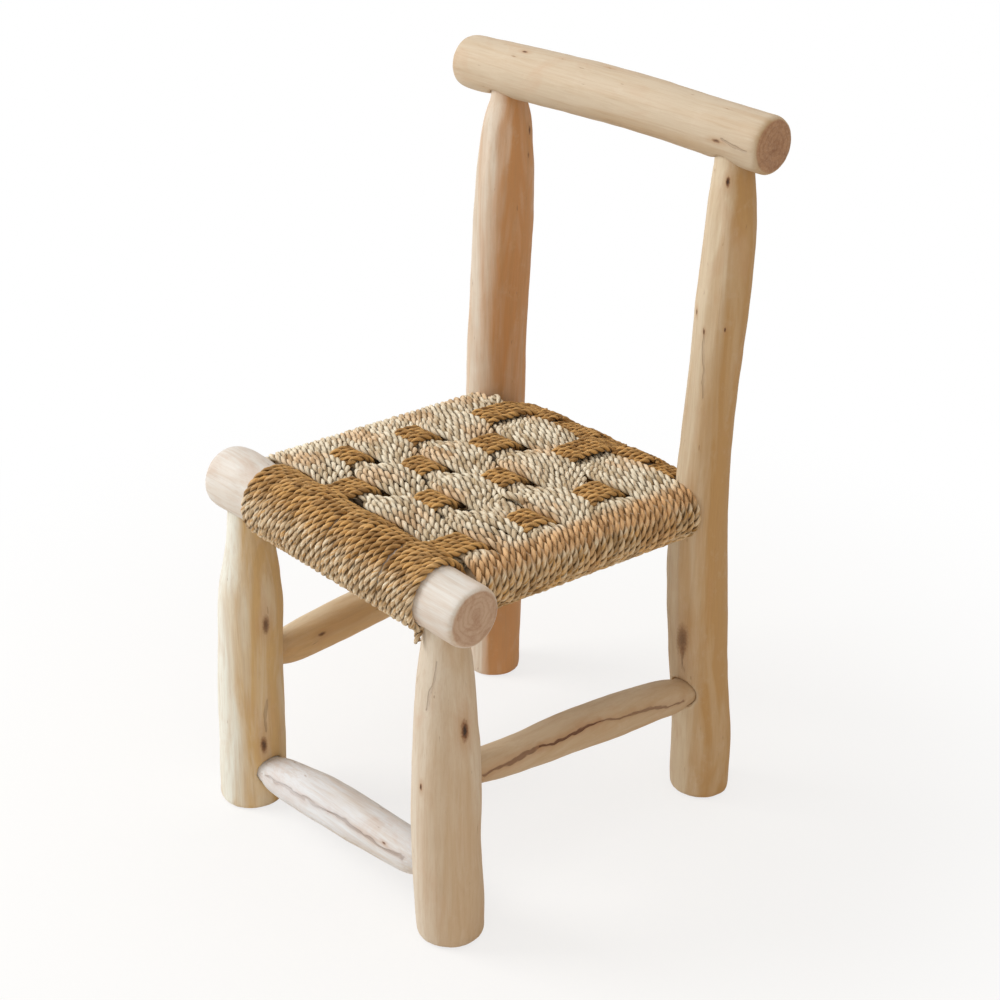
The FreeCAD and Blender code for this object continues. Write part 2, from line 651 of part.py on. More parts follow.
def winding(middle_y, middle_z, rail, start_x, end_x, turns):
    """Rope wound round a rail: one tube on half-turn arcs, open behind."""
    rope = size("rope_diameter")
    pitch = (end_x - start_x - rope) / (turns - 0.5)
    radius = rail + skin + rope / 2
    edges = []
    slant = math.hypot(radius, pitch / 4)
    for turn in range(turns):
        x = start_x + rope / 2 + turn * pitch
        top = Vector(x, middle_y, middle_z + radius)
        bottom = Vector(x + pitch / 2, middle_y, middle_z - radius)
        front = Vector(x + pitch / 4, middle_y - slant, middle_z)
        edges.append(Part.Arc(top, front, bottom).toShape())
        if turn < turns - 1:
            back = Vector(x + pitch * 3 / 4, middle_y + slant, middle_z)
            again = Vector(x + pitch, middle_y, middle_z + radius)
            edges.append(Part.Arc(bottom, back, again).toShape())
    lead_in = edges[0].valueAt(edges[0].FirstParameter)
    lead_out = edges[-1].valueAt(edges[-1].LastParameter)
    tail = Vector(0, rope, 0)
    edges.insert(0, Part.LineSegment(lead_in + tail, lead_in).toShape())
    edges.append(Part.LineSegment(lead_out, lead_out + tail).toShape())
    path = Part.Wire(edges)
    ring = Part.Wire(Part.Circle(lead_in + tail, Vector(0, -1, 0), rope / 2).toShape())
    tube = path.makePipeShell([ring], True, False)
    print(f"winding: {turns} turns, gap to itself {pitch * radius / slant - rope:.2f} mm, "
          f"volume share {tube.Volume / (path.Length * math.pi * rope ** 2 / 4):.4f}")
    return tube


def open_band(start_x, end_x):
    """Rope over the top and front of the rail, between the side rail and the leg."""
    inner = size("front_rail_radius") + front_slack
    width = end_x - start_x
    start_share, sweep_share = END_WRAP_TURN_SHARES
    sector = Part.makeCylinder(inner + band, width, Vector(), Vector(0, 0, 1), 360 * sweep_share)
    shape = sector.cut(Part.makeCylinder(inner, width))
    from_the_back = Rotation(Vector(0, 0, 1), 90 + 360 * start_share)
    middle_z = front_z((start_x + end_x) / 2)
    shape.Placement = FreeCAD.Placement(Vector(start_x, front_y, middle_z), TURNS["x"] * from_the_back)
    return shape


def add_shape(label, shape):
    """A feature that holds one finished shape."""
    feature = doc.addObject("Part::Feature", f"{label}_feature")
    place = shape.Placement
    feature.Shape = shape
    feature.Placement = place
    feature.Label = label
    nodes.append(feature)
    return feature


half_warp = size("warp_width") / 2
# Each warp band: its middle, and whether it starts over the front weft band
WARPS = {
    "a": (-size("warp_a_left"), False),
    "b": (-size("warp_b_left"), True),
    "c": (size("warp_c_right"), False),
    "d": (size("warp_d_right"), True),
}
warp_room = []
for letter, (middle_x, over_odd_rows) in WARPS.items():
    add_shape(f"warp_band_{letter}", warp_band(middle_x, over_odd_rows, 0))
    warp_room.append(warp_band(middle_x, over_odd_rows, skin))

for number, (start, end) in enumerate(weft_rows(), start=1):
    add_shape(f"weft_band_{number}", weft_band(start, end).cut(warp_room))

# Rope between the warp bands, on the front and the rear rail
edges_x = [middle_x + side * (half_warp + skin) for middle_x, _ in WARPS.values()
           for side in (-1, 1)]
spans = zip(edges_x[1:-1:2], edges_x[2:-1:2])
front_radius = size("front_rail_radius")
for number, ((start_x, end_x), turns) in enumerate(zip(spans, FILLER_TURNS), start=1):
    middle_z = front_z((start_x + end_x) / 2)
    add_shape(f"front_wrap_{number}",
              winding(front_y, middle_z, front_radius, start_x, end_x, turns))
    add_shape(f"rear_wrap_{number}", winding(rear_y, rear_z, rear_radius, start_x, end_x, turns))
last_band = open_band(edges_x[-1], size("front_wrap_reach"))
add_shape(f"front_wrap_{len(FILLER_TURNS) + 1}", last_band)

doc.recompute()
for thing in doc.Objects:
    if "Invalid" in thing.State or "Error" in thing.State:
        raise RuntimeError(f"{thing.Name} failed: {thing.State}")
for node in nodes:
    if node.Shape.isNull() or not node.Shape.isValid():
        raise RuntimeError(f"{node.Label} has no valid shape")

os.makedirs("parts", exist_ok=True)
for node in nodes:
    node.Shape.exportStep(f"parts/{node.Label}.step")
    print(f"{node.Label}: {len(node.Shape.Solids)} solid, {node.Shape.Volume / 1000:.2f} cm3")
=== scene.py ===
import json
import math

import bpy
import numpy as np
from mathutils import Matrix, Vector

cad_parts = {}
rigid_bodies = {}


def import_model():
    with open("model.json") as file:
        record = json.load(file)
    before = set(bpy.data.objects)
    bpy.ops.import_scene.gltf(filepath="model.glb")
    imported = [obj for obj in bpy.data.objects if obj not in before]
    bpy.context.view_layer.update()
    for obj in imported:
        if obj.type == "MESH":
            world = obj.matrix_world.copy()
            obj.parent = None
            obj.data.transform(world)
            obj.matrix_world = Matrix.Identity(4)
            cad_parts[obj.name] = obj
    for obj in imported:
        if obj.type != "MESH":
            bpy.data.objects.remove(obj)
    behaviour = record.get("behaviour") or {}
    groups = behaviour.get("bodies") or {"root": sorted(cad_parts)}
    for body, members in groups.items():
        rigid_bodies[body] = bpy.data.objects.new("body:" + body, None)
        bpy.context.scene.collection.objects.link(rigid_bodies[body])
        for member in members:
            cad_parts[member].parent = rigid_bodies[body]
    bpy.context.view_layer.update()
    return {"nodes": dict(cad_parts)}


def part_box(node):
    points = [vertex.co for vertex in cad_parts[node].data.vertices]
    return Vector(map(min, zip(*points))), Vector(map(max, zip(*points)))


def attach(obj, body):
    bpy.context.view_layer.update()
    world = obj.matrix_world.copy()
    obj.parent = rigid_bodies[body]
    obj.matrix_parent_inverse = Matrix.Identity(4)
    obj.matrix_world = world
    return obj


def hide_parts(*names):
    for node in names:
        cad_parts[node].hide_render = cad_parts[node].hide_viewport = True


# A child's chair of peeled logs with a woven rope seat. Metres, in the frame of
# the solids: -Y is the front, +X the viewer's right from the front, +Z up.

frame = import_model()

MM = 0.001


# Small helpers

def pick(*things):
    """Selects these objects and no others; the last is the active one."""
    bpy.ops.object.select_all(action="DESELECT")
    for thing in things:
        thing.select_set(True)
    bpy.context.view_layer.objects.active = things[-1]


def finish_with(thing, kind, **settings):
    """Adds a modifier to an object and applies it."""
    pick(thing)
    modifier = thing.modifiers.new(kind.lower(), kind)
    for key, value in settings.items():
        setattr(modifier, key, value)
    bpy.ops.object.modifier_apply(modifier=modifier.name)


def new_group(name, sockets_in, sockets_out):
    """An empty shader group: its wiring, and the sockets that lead in and out. Sockets in
    are (label, kind, value or None), and sockets out (label, kind)."""
    group = bpy.data.node_groups.new(name, "ShaderNodeTree")
    for label, kind, value in sockets_in:
        socket = group.interface.new_socket(
            name=label, in_out="INPUT", socket_type="NodeSocket" + kind)
        if value is not None:
            socket.default_value = value
    for label, kind in sockets_out:
        group.interface.new_socket(name=label, in_out="OUTPUT", socket_type="NodeSocket" + kind)
    ins = group.nodes.new("NodeGroupInput").outputs
    outs = group.nodes.new("NodeGroupOutput").inputs
    return Wiring(group), ins, outs


def new_material(name):
    """A material, its wiring and its surface shader."""
    material = bpy.data.materials.new(name)
    material.use_nodes = True
    nodes = material.node_tree.nodes
    return material, Wiring(material.node_tree), nodes["Principled BSDF"]


class Wiring:
    """Short words for adding nodes to one tree. A value may be a plain one, or a socket
    that is then linked."""

    def __init__(self, tree):
        self.tree = tree

    def node(self, kind, **settings):
        """A new node with these settings."""
        node = self.tree.nodes.new("ShaderNode" + kind)
        for key, value in settings.items():
            setattr(node, key, value)
        return node

    def put(self, value, socket):
        """Links a socket to another, or gives it a plain value."""
        if isinstance(value, bpy.types.NodeSocket):
            self.tree.links.new(value, socket)
        else:
            socket.default_value = value

    def math(self, operation, *values, clamp=False):
        """A sum on numbers."""
        node = self.node("Math", operation=operation, use_clamp=clamp)
        for value, socket in zip(values, node.inputs):
            self.put(value, socket)
        return node.outputs[0]

    def vector_math(self, operation, *values, out="Vector"):
        """A sum on vectors; out is "Value" where it gives a number."""
        node = self.node("VectorMath", operation=operation)
        for value, socket in zip(values, node.inputs):
            self.put(value, socket)
        return node.outputs[out]

    def noise(self, vector, scale, detail=3.0, roughness=0.55, distortion=0.0):
        """Cloudy noise, mostly between 0.3 and 0.7."""
        node = self.node("TexNoise")
        self.put(vector, node.inputs["Vector"])
        node.inputs["Scale"].default_value = scale
        node.inputs["Detail"].default_value = detail
        node.inputs["Roughness"].default_value = roughness
        node.inputs["Distortion"].default_value = distortion
        return node.outputs["Fac"]

    def stretch(self, vector, factors):
        """A vector with each of its parts multiplied by its own factor."""
        return self.vector_math("MULTIPLY", vector, factors)

    def scaled(self, vector, factor):
        """A vector multiplied by one number."""
        node = self.node("VectorMath", operation="SCALE")
        self.put(vector, node.inputs[0])
        self.put(factor, node.inputs["Scale"])
        return node.outputs[0]

    def product(self, *values):
        """Two numbers multiplied."""
        return self.math("MULTIPLY", *values)

    def rest(self, value):
        """What is left of 1."""
        return self.math("SUBTRACT", 1.0, value)

    def ramp(self, value, low, high):
        """0 at low and 1 at high, straight between them."""
        node = self.node("MapRange")
        self.put(value, node.inputs["Value"])
        node.inputs["From Min"].default_value = low
        node.inputs["From Max"].default_value = high
        return node.outputs["Result"]

    def mix(self, share, one, other):
        """One colour at share 0, and the other at 1."""
        node = self.node("Mix", data_type="RGBA")
        self.put(share, node.inputs[0])
        self.put(one, node.inputs[6])
        self.put(other, node.inputs[7])
        return node.outputs[2]

    def tint(self, colour, mask, strength, other):
        """A colour with another one over it, where the mask is, up to a strength."""
        return self.mix(self.product(mask, strength), colour, other)

    def mix_shaders(self, share, one, other):
        """One shader at share 0, and the other at 1."""
        node = self.node("MixShader")
        self.put(share, node.inputs["Fac"])
        self.put(one.outputs[0], node.inputs[1])
        self.put(other.outputs[0], node.inputs[2])
        return node.outputs[0]

    def bump(self, height, strength, shader):
        """Gives a shader relief; height is in metres."""
        node = self.node("Bump")
        node.inputs["Strength"].default_value = strength
        node.inputs["Distance"].default_value = 1.0
        self.put(height, node.inputs["Height"])
        self.put(node.outputs["Normal"], shader.inputs["Normal"])


# Camera, light and floor

CAMERA_PLACE = Vector((875.05, -819.48, 891.86)) * MM
CAMERA_AZIMUTH = math.radians(46.036)
CAMERA_PITCH = math.radians(27.936)
CAMERA_ROLL = math.radians(0.813)
CAMERA_LENS = 67.0
CAMERA_SENSOR = 36.0
CAMERA_NEAREST = 0.01

# Soft boxes: name, place, size, power and colour; all face the middle of the chair
LIGHTS = (("window", (-1.5, -1.25, 1.55), 1.1, 34, (1.0, 0.99, 0.975)),
          ("ceiling", (0.1, 0.2, 2.2), 1.8, 9, (1, 1, 1)),
          ("return", (1.5, -0.6, 0.9), 1.4, 4, (1.0, 0.88, 0.72)))
LIGHTS_AIM = Vector((0, 0, 0.25))
WORLD_FILL = (1.0, 0.90, 0.78, 1)
WORLD_STRENGTH = 0.42
WHITE = (1, 1, 1, 1)

FLOOR_SIZE = 12
FLOOR_HEIGHT = -0.0003
FLOOR_PAPER = (0.93, 0.92, 0.90, 1)
# The camera sees this share of plain white near the chair and far from it
FLOOR_WHITENESS = {"From Min": 0.15, "From Max": 0.75, "To Min": 0.74, "To Max": 1.0}


def add_camera():
    """The photograph's view of the chair, from the front right and above."""
    turn = (Matrix.Rotation(CAMERA_AZIMUTH, 3, "Z")
            @ Matrix.Rotation(math.pi / 2 - CAMERA_PITCH, 3, "X")
            @ Matrix.Rotation(CAMERA_ROLL, 3, "Z"))
    bpy.ops.object.camera_add(location=CAMERA_PLACE, rotation=turn.to_euler())
    camera = bpy.context.object
    camera.name = "photo_camera"
    camera.data.lens = CAMERA_LENS
    camera.data.sensor_width = CAMERA_SENSOR
    camera.data.clip_start = CAMERA_NEAREST
    bpy.context.scene.camera = camera


def add_light(name, place, size, power, colour):
    """A soft box that faces the chair."""
    bpy.ops.object.light_add(type="AREA", location=place)
    light = bpy.context.object
    light.name = name
    light.data.shape = "SQUARE"
    light.data.size = size
    light.data.energy = power
    light.data.color = colour
    way = LIGHTS_AIM - Vector(place)
    light.rotation_euler = way.to_track_quat("-Z", "Y").to_euler()


def add_world():
    """A pale room: even light from all round, and white to the camera and in gloss."""
    world = bpy.data.worlds.new("pale_room")
    bpy.context.scene.world = world
    world.use_nodes = True
    world.node_tree.nodes.clear()
    w = Wiring(world.node_tree)
    fill = w.node("Background")
    fill.inputs["Color"].default_value = WORLD_FILL
    fill.inputs["Strength"].default_value = WORLD_STRENGTH
    white = w.node("Background")
    white.inputs["Color"].default_value = WHITE
    white.inputs["Strength"].default_value = 1.0
    path = w.node("LightPath")
    seen = w.math("MAXIMUM", path.outputs["Is Camera Ray"], path.outputs["Is Glossy Ray"])
    w.put(w.mix_shaders(seen, fill, white), w.node("OutputWorld").inputs["Surface"])


def add_floor():
    """A pale floor: near white to the camera, with the chair's soft shadow on it."""
    bpy.ops.mesh.primitive_plane_add(size=FLOOR_SIZE, location=(0, 0, FLOOR_HEIGHT))
    floor = bpy.context.object
    floor.name = "floor"
    bpy.ops.object.transform_apply(location=True, rotation=False, scale=False)
    material, w, paper = new_material("floor_paper")
    paper.inputs["Base Color"].default_value = FLOOR_PAPER
    paper.inputs["Roughness"].default_value = 0.95
    paper.inputs["Specular IOR Level"].default_value = 0.1
    away = w.vector_math("LENGTH", w.node("TexCoord").outputs["Object"], out="Value")
    whiteness = w.node("MapRange", interpolation_type="SMOOTHSTEP")
    w.put(away, whiteness.inputs["Value"])
    for socket, value in FLOOR_WHITENESS.items():
        whiteness.inputs[socket].default_value = value
    camera_ray = w.node("LightPath").outputs["Is Camera Ray"]
    seen = w.product(camera_ray, whiteness.outputs["Result"])
    white = w.node("Emission")
    white.inputs["Strength"].default_value = 1.0
    surface = material.node_tree.nodes["Material Output"].inputs["Surface"]
    w.put(w.mix_shaders(seen, paper, white), surface)
    floor.data.materials.append(material)


add_camera()
bpy.context.scene.view_settings.view_transform = "Standard"
add_world()
for light in LIGHTS:
    add_light(*light)
add_floor()


# Shader groups for the wood

# Knots and cracks
KNOT_HALO = (0.48, 0.27, 0.13, 1)
KNOT_RING = (0.25, 0.115, 0.05, 1)
KNOT_HEART = (0.045, 0.022, 0.012, 1)
CRACK_STAIN = (0.42, 0.21, 0.10, 1)
CRACK_LINE = (0.15, 0.065, 0.03, 1)
# The grain's streaks, bark stains, fibres, worn places and specks
GRAIN_FIGURE = (0.47, 0.29, 0.14, 1)
GRAIN_PATCH = (0.56, 0.33, 0.19, 1)
GRAIN_FIBRE = (0.42, 0.26, 0.14, 1)
GRAIN_WORN = (0.78, 0.70, 0.60, 1)
GRAIN_SPECK = (0.27, 0.14, 0.07, 1)
SAWN_FUZZ = (0.66, 0.50, 0.37, 1)
RING_SPACING = 3.9 * MM


def knot_group():
    """A knot: a dark heart in a brown ring, drawn out along the log."""
    w, ins, outs = new_group(
        "knot",
        [("Vector", "Vector", None), ("Place", "Vector", None),
         ("Size", "Float", 0.003), ("Dark", "Float", 1.0),
         ("Before", "Color", None), ("Height Before", "Float", 0.0)],
        [("Color", "Color"), ("Height", "Float")])
    away = w.vector_math("SUBTRACT", ins["Vector"], ins["Place"])
    distance = w.vector_math("LENGTH", w.stretch(away, (1.15, 1.15, 0.42)), out="Value")
    rough = w.product(w.noise(ins["Vector"], 600.0), 0.5)
    share = w.math("ADD", w.math("DIVIDE", distance, ins["Size"]), rough)
    halo = w.product(w.rest(w.ramp(share, 0.9, 2.6)), 0.55)
    ring = w.rest(w.ramp(share, 0.75, 1.15))
    heart = w.rest(w.ramp(share, 0.45, 0.8))
    strength = ins["Dark"]
    colour = w.tint(ins["Before"], halo, strength, KNOT_HALO)
    colour = w.tint(colour, ring, strength, KNOT_RING)
    black = w.product(heart, w.product(strength, strength))
    colour = w.mix(black, colour, KNOT_HEART)
    w.put(colour, outs["Color"])
    dip = w.product(heart, -0.0006)
    w.put(w.math("ADD", ins["Height Before"], dip), outs["Height"])
    return w.tree


def crack_group():
    """A thin wandering crack between two places: dark, with stained edges."""
    w, ins, outs = new_group(
        "crack",
        [("Vector", "Vector", None), ("Place", "Vector", None),
         ("Run", "Vector", None), ("Dark", "Float", 1.0),
         ("Before", "Color", None), ("Height Before", "Float", 0.0)],
        [("Color", "Color"), ("Height", "Float")])
    spot, run = ins["Vector"], ins["Run"]
    sway = w.node("TexNoise")
    w.put(w.stretch(spot, (1.0, 1.0, 0.4)), sway.inputs["Vector"])
    sway.inputs["Scale"].default_value = 130.0
    swayed = w.scaled(w.vector_math("SUBTRACT", sway.outputs["Color"], (0.5, 0.5, 0.5)), 0.008)
    away = w.vector_math("SUBTRACT", w.vector_math("ADD", spot, swayed), ins["Place"])
    share = w.math("DIVIDE", w.vector_math("DOT_PRODUCT", away, run, out="Value"),
                   w.vector_math("DOT_PRODUCT", run, run, out="Value"), clamp=True)
    off = w.vector_math("SUBTRACT", away, w.scaled(run, share))
    # Depth under the log's skin doesn't count, but its far side shows no crack
    out = w.vector_math("NORMALIZE", w.stretch(spot, (1.0, 1.0, 0.0)))
    depth = w.vector_math("DOT_PRODUCT", off, out, out="Value")
    near = w.rest(w.ramp(w.math("ABSOLUTE", depth), 0.006, 0.012))
    aside = w.vector_math("SUBTRACT", off, w.scaled(out, depth))
    distance = w.vector_math("LENGTH", aside, out="Value")
    # Widest halfway, and never so thin that two cracks in a row come apart
    middle = w.product(share, w.rest(share))
    half_width = w.math("ADD", 0.0002, w.product(middle, 0.0012))
    line = w.rest(w.ramp(w.math("SUBTRACT", distance, half_width), 0.0001, 0.0006))
    edge = w.rest(w.ramp(distance, 0.0006, 0.0042))
    strength = w.product(ins["Dark"], near)
    stained = w.product(w.product(edge, strength), 0.55)
    colour = w.mix(stained, ins["Before"], CRACK_STAIN)
    colour = w.tint(colour, line, strength, CRACK_LINE)
    w.put(colour, outs["Color"])
    dip = w.product(line, -0.0007)
    w.put(w.math("ADD", ins["Height Before"], dip), outs["Height"])
    return w.tree


def grain_group():
    """Peeled softwood: pale sapwood that turns to tan in bark stains, and on one side as painted
    shade; streaks, fibres and specks.
    """
    w, ins, outs = new_group(
        "peeled_grain",
        [("Vector", "Vector", None), ("Pale", "Color", None), ("Deep", "Color", None),
         ("Painted Shade", "Float", 0.0), ("Seed", "Float", 0.0)],
        [("Color", "Color"), ("Height", "Float"), ("Roughness", "Float")])
    shift = w.node("CombineXYZ")
    w.put(ins["Seed"], shift.inputs["Z"])
    w.put(w.product(ins["Seed"], 0.37), shift.inputs["X"])
    place = w.vector_math("ADD", ins["Vector"], shift.outputs[0])
    # Broad bands and patches where the inner bark stained the wood
    broad = w.noise(w.stretch(place, (1.0, 1.0, 0.14)), 48.0, 4.0, 0.55, 0.7)
    stain = w.ramp(broad, 0.38, 0.66)
    patches = w.ramp(w.noise(w.stretch(place, (1.0, 1.0, 0.5)), 38.0, 4.0, 0.62, 1.0), 0.52, 0.70)
    # Grain figure and fibres, drawn out along the log
    figure = w.noise(w.stretch(place, (1.0, 1.0, 0.045)), 240.0, 3.0, 0.6, 0.5)
    fibre = w.noise(w.stretch(place, (1.0, 1.0, 0.03)), 1400.0, 2.0, 0.6)
    specks = w.ramp(w.noise(w.stretch(place, (1.0, 1.0, 0.22)), 330.0, 2.0, 0.5), 0.725, 0.78)
    wear = w.ramp(w.noise(w.stretch(place, (1.0, 1.0, 0.7)), 95.0, 5.0, 0.7), 0.55, 0.75)
    spread = w.product(w.math("SUBTRACT", stain, 0.45), 0.62)
    # The share of deep: painted shade on one side of the log, added to the bark stains
    turned = w.math("ADD", ins["Painted Shade"], spread, clamp=True)
    colour = w.mix(turned, ins["Pale"], ins["Deep"])
    colour = w.tint(colour, w.ramp(figure, 0.46, 0.66), 0.24, GRAIN_FIGURE)
    colour = w.tint(colour, patches, 0.26, GRAIN_PATCH)
    colour = w.tint(colour, w.ramp(fibre, 0.48, 0.8), 0.20, GRAIN_FIBRE)
    colour = w.tint(colour, wear, 0.15, GRAIN_WORN)
    colour = w.tint(colour, specks, 0.6, GRAIN_SPECK)
    w.put(colour, outs["Color"])
    height = w.math("ADD", w.product(fibre, 0.00012), w.product(figure, 0.00034))
    height = w.math("ADD", height, w.product(broad, 0.0008))
    w.put(height, outs["Height"])
    w.put(w.math("ADD", 0.50, w.product(fibre, 0.22)), outs["Roughness"])
    return w.tree


def end_grain_group():
    """Growth rings, rays and patches on a sawn end, about the log's own axis."""
    w, ins, outs = new_group(
        "end_grain",
        [("Vector", "Vector", None), ("Facing", "Float", 0.0), ("Ring", "Color", None),
         ("Wood", "Color", None), ("Before", "Color", None)],
        [("Color", "Color")])
    flat = w.stretch(ins["Vector"], (1.0, 1.0, 0.0))
    warp = w.product(w.noise(ins["Vector"], 60.0, 3.0), 0.010)
    radius = w.math("ADD", w.vector_math("LENGTH", flat, out="Value"), warp)
    waves = w.math("SINE", w.product(radius, 2 * math.pi / RING_SPACING))
    rings = w.ramp(waves, 0.0, 1.0)
    patches = w.ramp(w.noise(ins["Vector"], 75.0, 4.0, 0.6, 1.2), 0.42, 0.66)
    rough = w.noise(ins["Vector"], 800.0)
    heart = w.rest(w.ramp(radius, 0.006, 0.013))
    colour = w.tint(ins["Wood"], rings, 0.32, ins["Ring"])
    colour = w.tint(colour, patches, 0.55, ins["Ring"])
    colour = w.tint(colour, heart, 0.4, ins["Ring"])
    colour = w.tint(colour, w.ramp(rough, 0.45, 0.8), 0.35, SAWN_FUZZ)
    w.put(w.mix(ins["Facing"], ins["Before"], colour), outs["Color"])
    return w.tree


GRAIN = grain_group()
KNOT = knot_group()
CRACK = crack_group()
END_GRAIN = end_grain_group()


# The logs

# How a log's own axis, Z in its material, lies in the chair
AXIS_TURNS = {"x": (0, -math.pi / 2, 0), "y": (math.pi / 2, 0, 0), "z": (0, 0, 0)}
# The side on which all the logs are more tanned
# The way faced by the side of every log that is painted in shade, away from the window light: there
# the wood goes from pale towards deep
PAINTED_SHADE_WAY = (0.83, 0.42, -0.36)
# Colours of a sawn end: its rings and the wood between them
PLAIN_END = ((0.40, 0.22, 0.12), (0.58, 0.40, 0.27))

# How finely a log is worked before and after its flats are cut, and how deep its dents are
ROUGH_VOXEL = 1.9 * MM
FINE_VOXEL = 1.6 * MM
SAME_SPOT = 0.01 * MM
DENT_SPACING = 26 * MM
DENT_DEPTH = 0.9 * MM
# Flats: share of the radius left by whittling a top or by chance, and chance's lean
TOP_SHARE = 0.95
CHANCE_SHARES = (0.95, 0.98)
CHANCE_LEAN = 0.03


def log_material(name, axis, middle, seed, pale, deep, turned, knots=(), cracks=(),
                 end_colours=PLAIN_END):
    """Peeled wood for one log. Pale and deep are its colours; the share given says how far its
    side that faces away from the window light goes to deep, as painted shade. Knots are
    (place, size, darkness) and cracks (place, place, darkness), in millimetres in the chair's
    frame."""
    material, w, wood = new_material(name)
    coords = w.node("TexCoord")
    mapping = w.node("Mapping", vector_type="TEXTURE")
    mapping.inputs["Location"].default_value = middle
    mapping.inputs["Rotation"].default_value = AXIS_TURNS[axis]
    w.put(coords.outputs["Object"], mapping.inputs["Vector"])
    along = mapping.outputs["Vector"]
    # Painted shade: a log's side that faces away from the window light turns from pale to deep
    side = w.vector_math("DOT_PRODUCT", coords.outputs["Normal"], PAINTED_SHADE_WAY, out="Value")
    grain = w.node("Group", node_tree=GRAIN)
    w.put(along, grain.inputs["Vector"])
    w.put(w.product(w.ramp(side, -0.40, 0.45), turned), grain.inputs["Painted Shade"])
    grain.inputs["Pale"].default_value = (*pale, 1)
    grain.inputs["Deep"].default_value = (*deep, 1)
    grain.inputs["Seed"].default_value = seed
    colour = grain.outputs["Color"]
    height = grain.outputs["Height"]
    turn = (Matrix.Rotation(AXIS_TURNS[axis][0], 3, "X")
            @ Matrix.Rotation(AXIS_TURNS[axis][1], 3, "Y"))

    def own_place(place):
        """A place of the chair in the log's own frame."""
        return turn.transposed() @ (Vector(place) * MM - Vector(middle))

    marks = [(KNOT, place, {"Size": size * MM}, dark) for place, size, dark in knots]
    marks += [(CRACK, first, {"Run": own_place(last) - own_place(first)}, dark)
              for first, last, dark in cracks]
    for group, place, own, dark in marks:
        mark = w.node("Group", node_tree=group)
        w.put(along, mark.inputs["Vector"])
        mark.inputs["Place"].default_value = own_place(place)
        mark.inputs["Dark"].default_value = dark
        for label, value in own.items():
            mark.inputs[label].default_value = value
        w.put(colour, mark.inputs["Before"])
        w.put(height, mark.inputs["Height Before"])
        colour = mark.outputs["Color"]
        height = mark.outputs["Height"]
    own_axis = tuple(turn @ Vector((0, 0, 1)))
    facing = w.vector_math("DOT_PRODUCT", coords.outputs["Normal"], own_axis, out="Value")
    facing = w.ramp(w.math("ABSOLUTE", facing), 0.80, 0.93)
    rings = w.node("Group", node_tree=END_GRAIN)
    w.put(along, rings.inputs["Vector"])
    w.put(facing, rings.inputs["Facing"])
    w.put(colour, rings.inputs["Before"])
    rings.inputs["Ring"].default_value = (*end_colours[0], 1)
    rings.inputs["Wood"].default_value = (*end_colours[1], 1)
    w.put(rings.outputs["Color"], wood.inputs["Base Color"])
    w.put(grain.outputs["Roughness"], wood.inputs["Roughness"])
    wood.inputs["Specular IOR Level"].default_value = 0.35
    w.bump(height, 0.9, wood)
    return material


def dress_log(node, axis, slot, seed, shaves, **wood):
    """Replaces a plain log by a hand-shaved one: flats cut along it, then softened."""
    low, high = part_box(node)
    middle = (low + high) / 2
    pick(frame["nodes"][node])
    bpy.ops.object.duplicate()
    log = bpy.context.object
    log.name = node + "_shaved"
    bpy.ops.object.parent_clear(type="CLEAR_KEEP_TRANSFORM")
    log.data.materials.clear()
    bpy.ops.object.mode_set(mode="EDIT")
    bpy.ops.mesh.select_all(action="SELECT")
    bpy.ops.mesh.remove_doubles(threshold=SAME_SPOT)
    bpy.ops.object.mode_set(mode="OBJECT")
    finish_with(log, "REMESH", mode="VOXEL", voxel_size=ROUGH_VOXEL)
    spots = np.empty(len(log.data.vertices) * 3)
    log.data.vertices.foreach_get("co", spots)
    spots = spots.reshape(-1, 3)
    planes = [flat_plane(spots, axis, low, high, *cut) for cut in shaves]
    bpy.ops.object.mode_set(mode="EDIT")
    for place, normal in planes:
        bpy.ops.mesh.select_all(action="SELECT")
        bpy.ops.mesh.bisect(plane_co=place, plane_no=normal, clear_outer=True)
        # The cut is closed by filling, because the bisect's own fill leaves slivers open
        bpy.ops.mesh.select_all(action="SELECT")
        bpy.ops.mesh.remove_doubles(threshold=SAME_SPOT)
        bpy.ops.mesh.fill_holes(sides=0)
    bpy.ops.object.mode_set(mode="OBJECT")
    finish_with(log, "REMESH", mode="VOXEL", voxel_size=FINE_VOXEL)
    finish_with(log, "SMOOTH", factor=0.5, iterations=2)
    cloud = bpy.data.textures.new(node + "_dents", "CLOUDS")
    cloud.noise_scale = DENT_SPACING
    cloud.noise_depth = 1
    finish_with(log, "DISPLACE", texture=cloud, texture_coords="LOCAL", strength=DENT_DEPTH,
                mid_level=0.5)
    pick(log)
    bpy.ops.object.shade_smooth()
    log.data.materials.append(log_material(node + "_wood", axis, middle, seed, **wood))
    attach(log, "root")
    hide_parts(node)


def flat_plane(spots, axis, low, high, angle, share_left, lean):
    """The plane of one flat: a point on it and its normal. It cuts where the log stands out
    most, whatever its bend, because it is set by the log's own far side that way."""
    place = "xyz".index(axis)
    across = [p for p in range(3) if p != place]
    length = high[place] - low[place]
    levels = (low[place] + length * 0.1, high[place] - length * 0.15)
    middles = []
    for level in levels:
        near = spots[abs(spots[:, place] - level) < 5 * MM]
        middles.append([(near[:, p].min() + near[:, p].max()) / 2 for p in across])
        reach = min(near[:, p].max() - near[:, p].min() for p in across) / 2
    slope = (np.array(middles[1]) - np.array(middles[0])) / (levels[1] - levels[0])
    way = np.zeros(3)
    way[across[0]] = math.cos(math.radians(angle))
    way[across[1]] = math.sin(math.radians(angle))
    way[place] = lean - way[across[0]] * slope[0] - way[across[1]] * slope[1]
    way /= np.linalg.norm(way)
    return Vector(way * ((spots @ way).max() - (1 - share_left) * reach)), Vector(way)


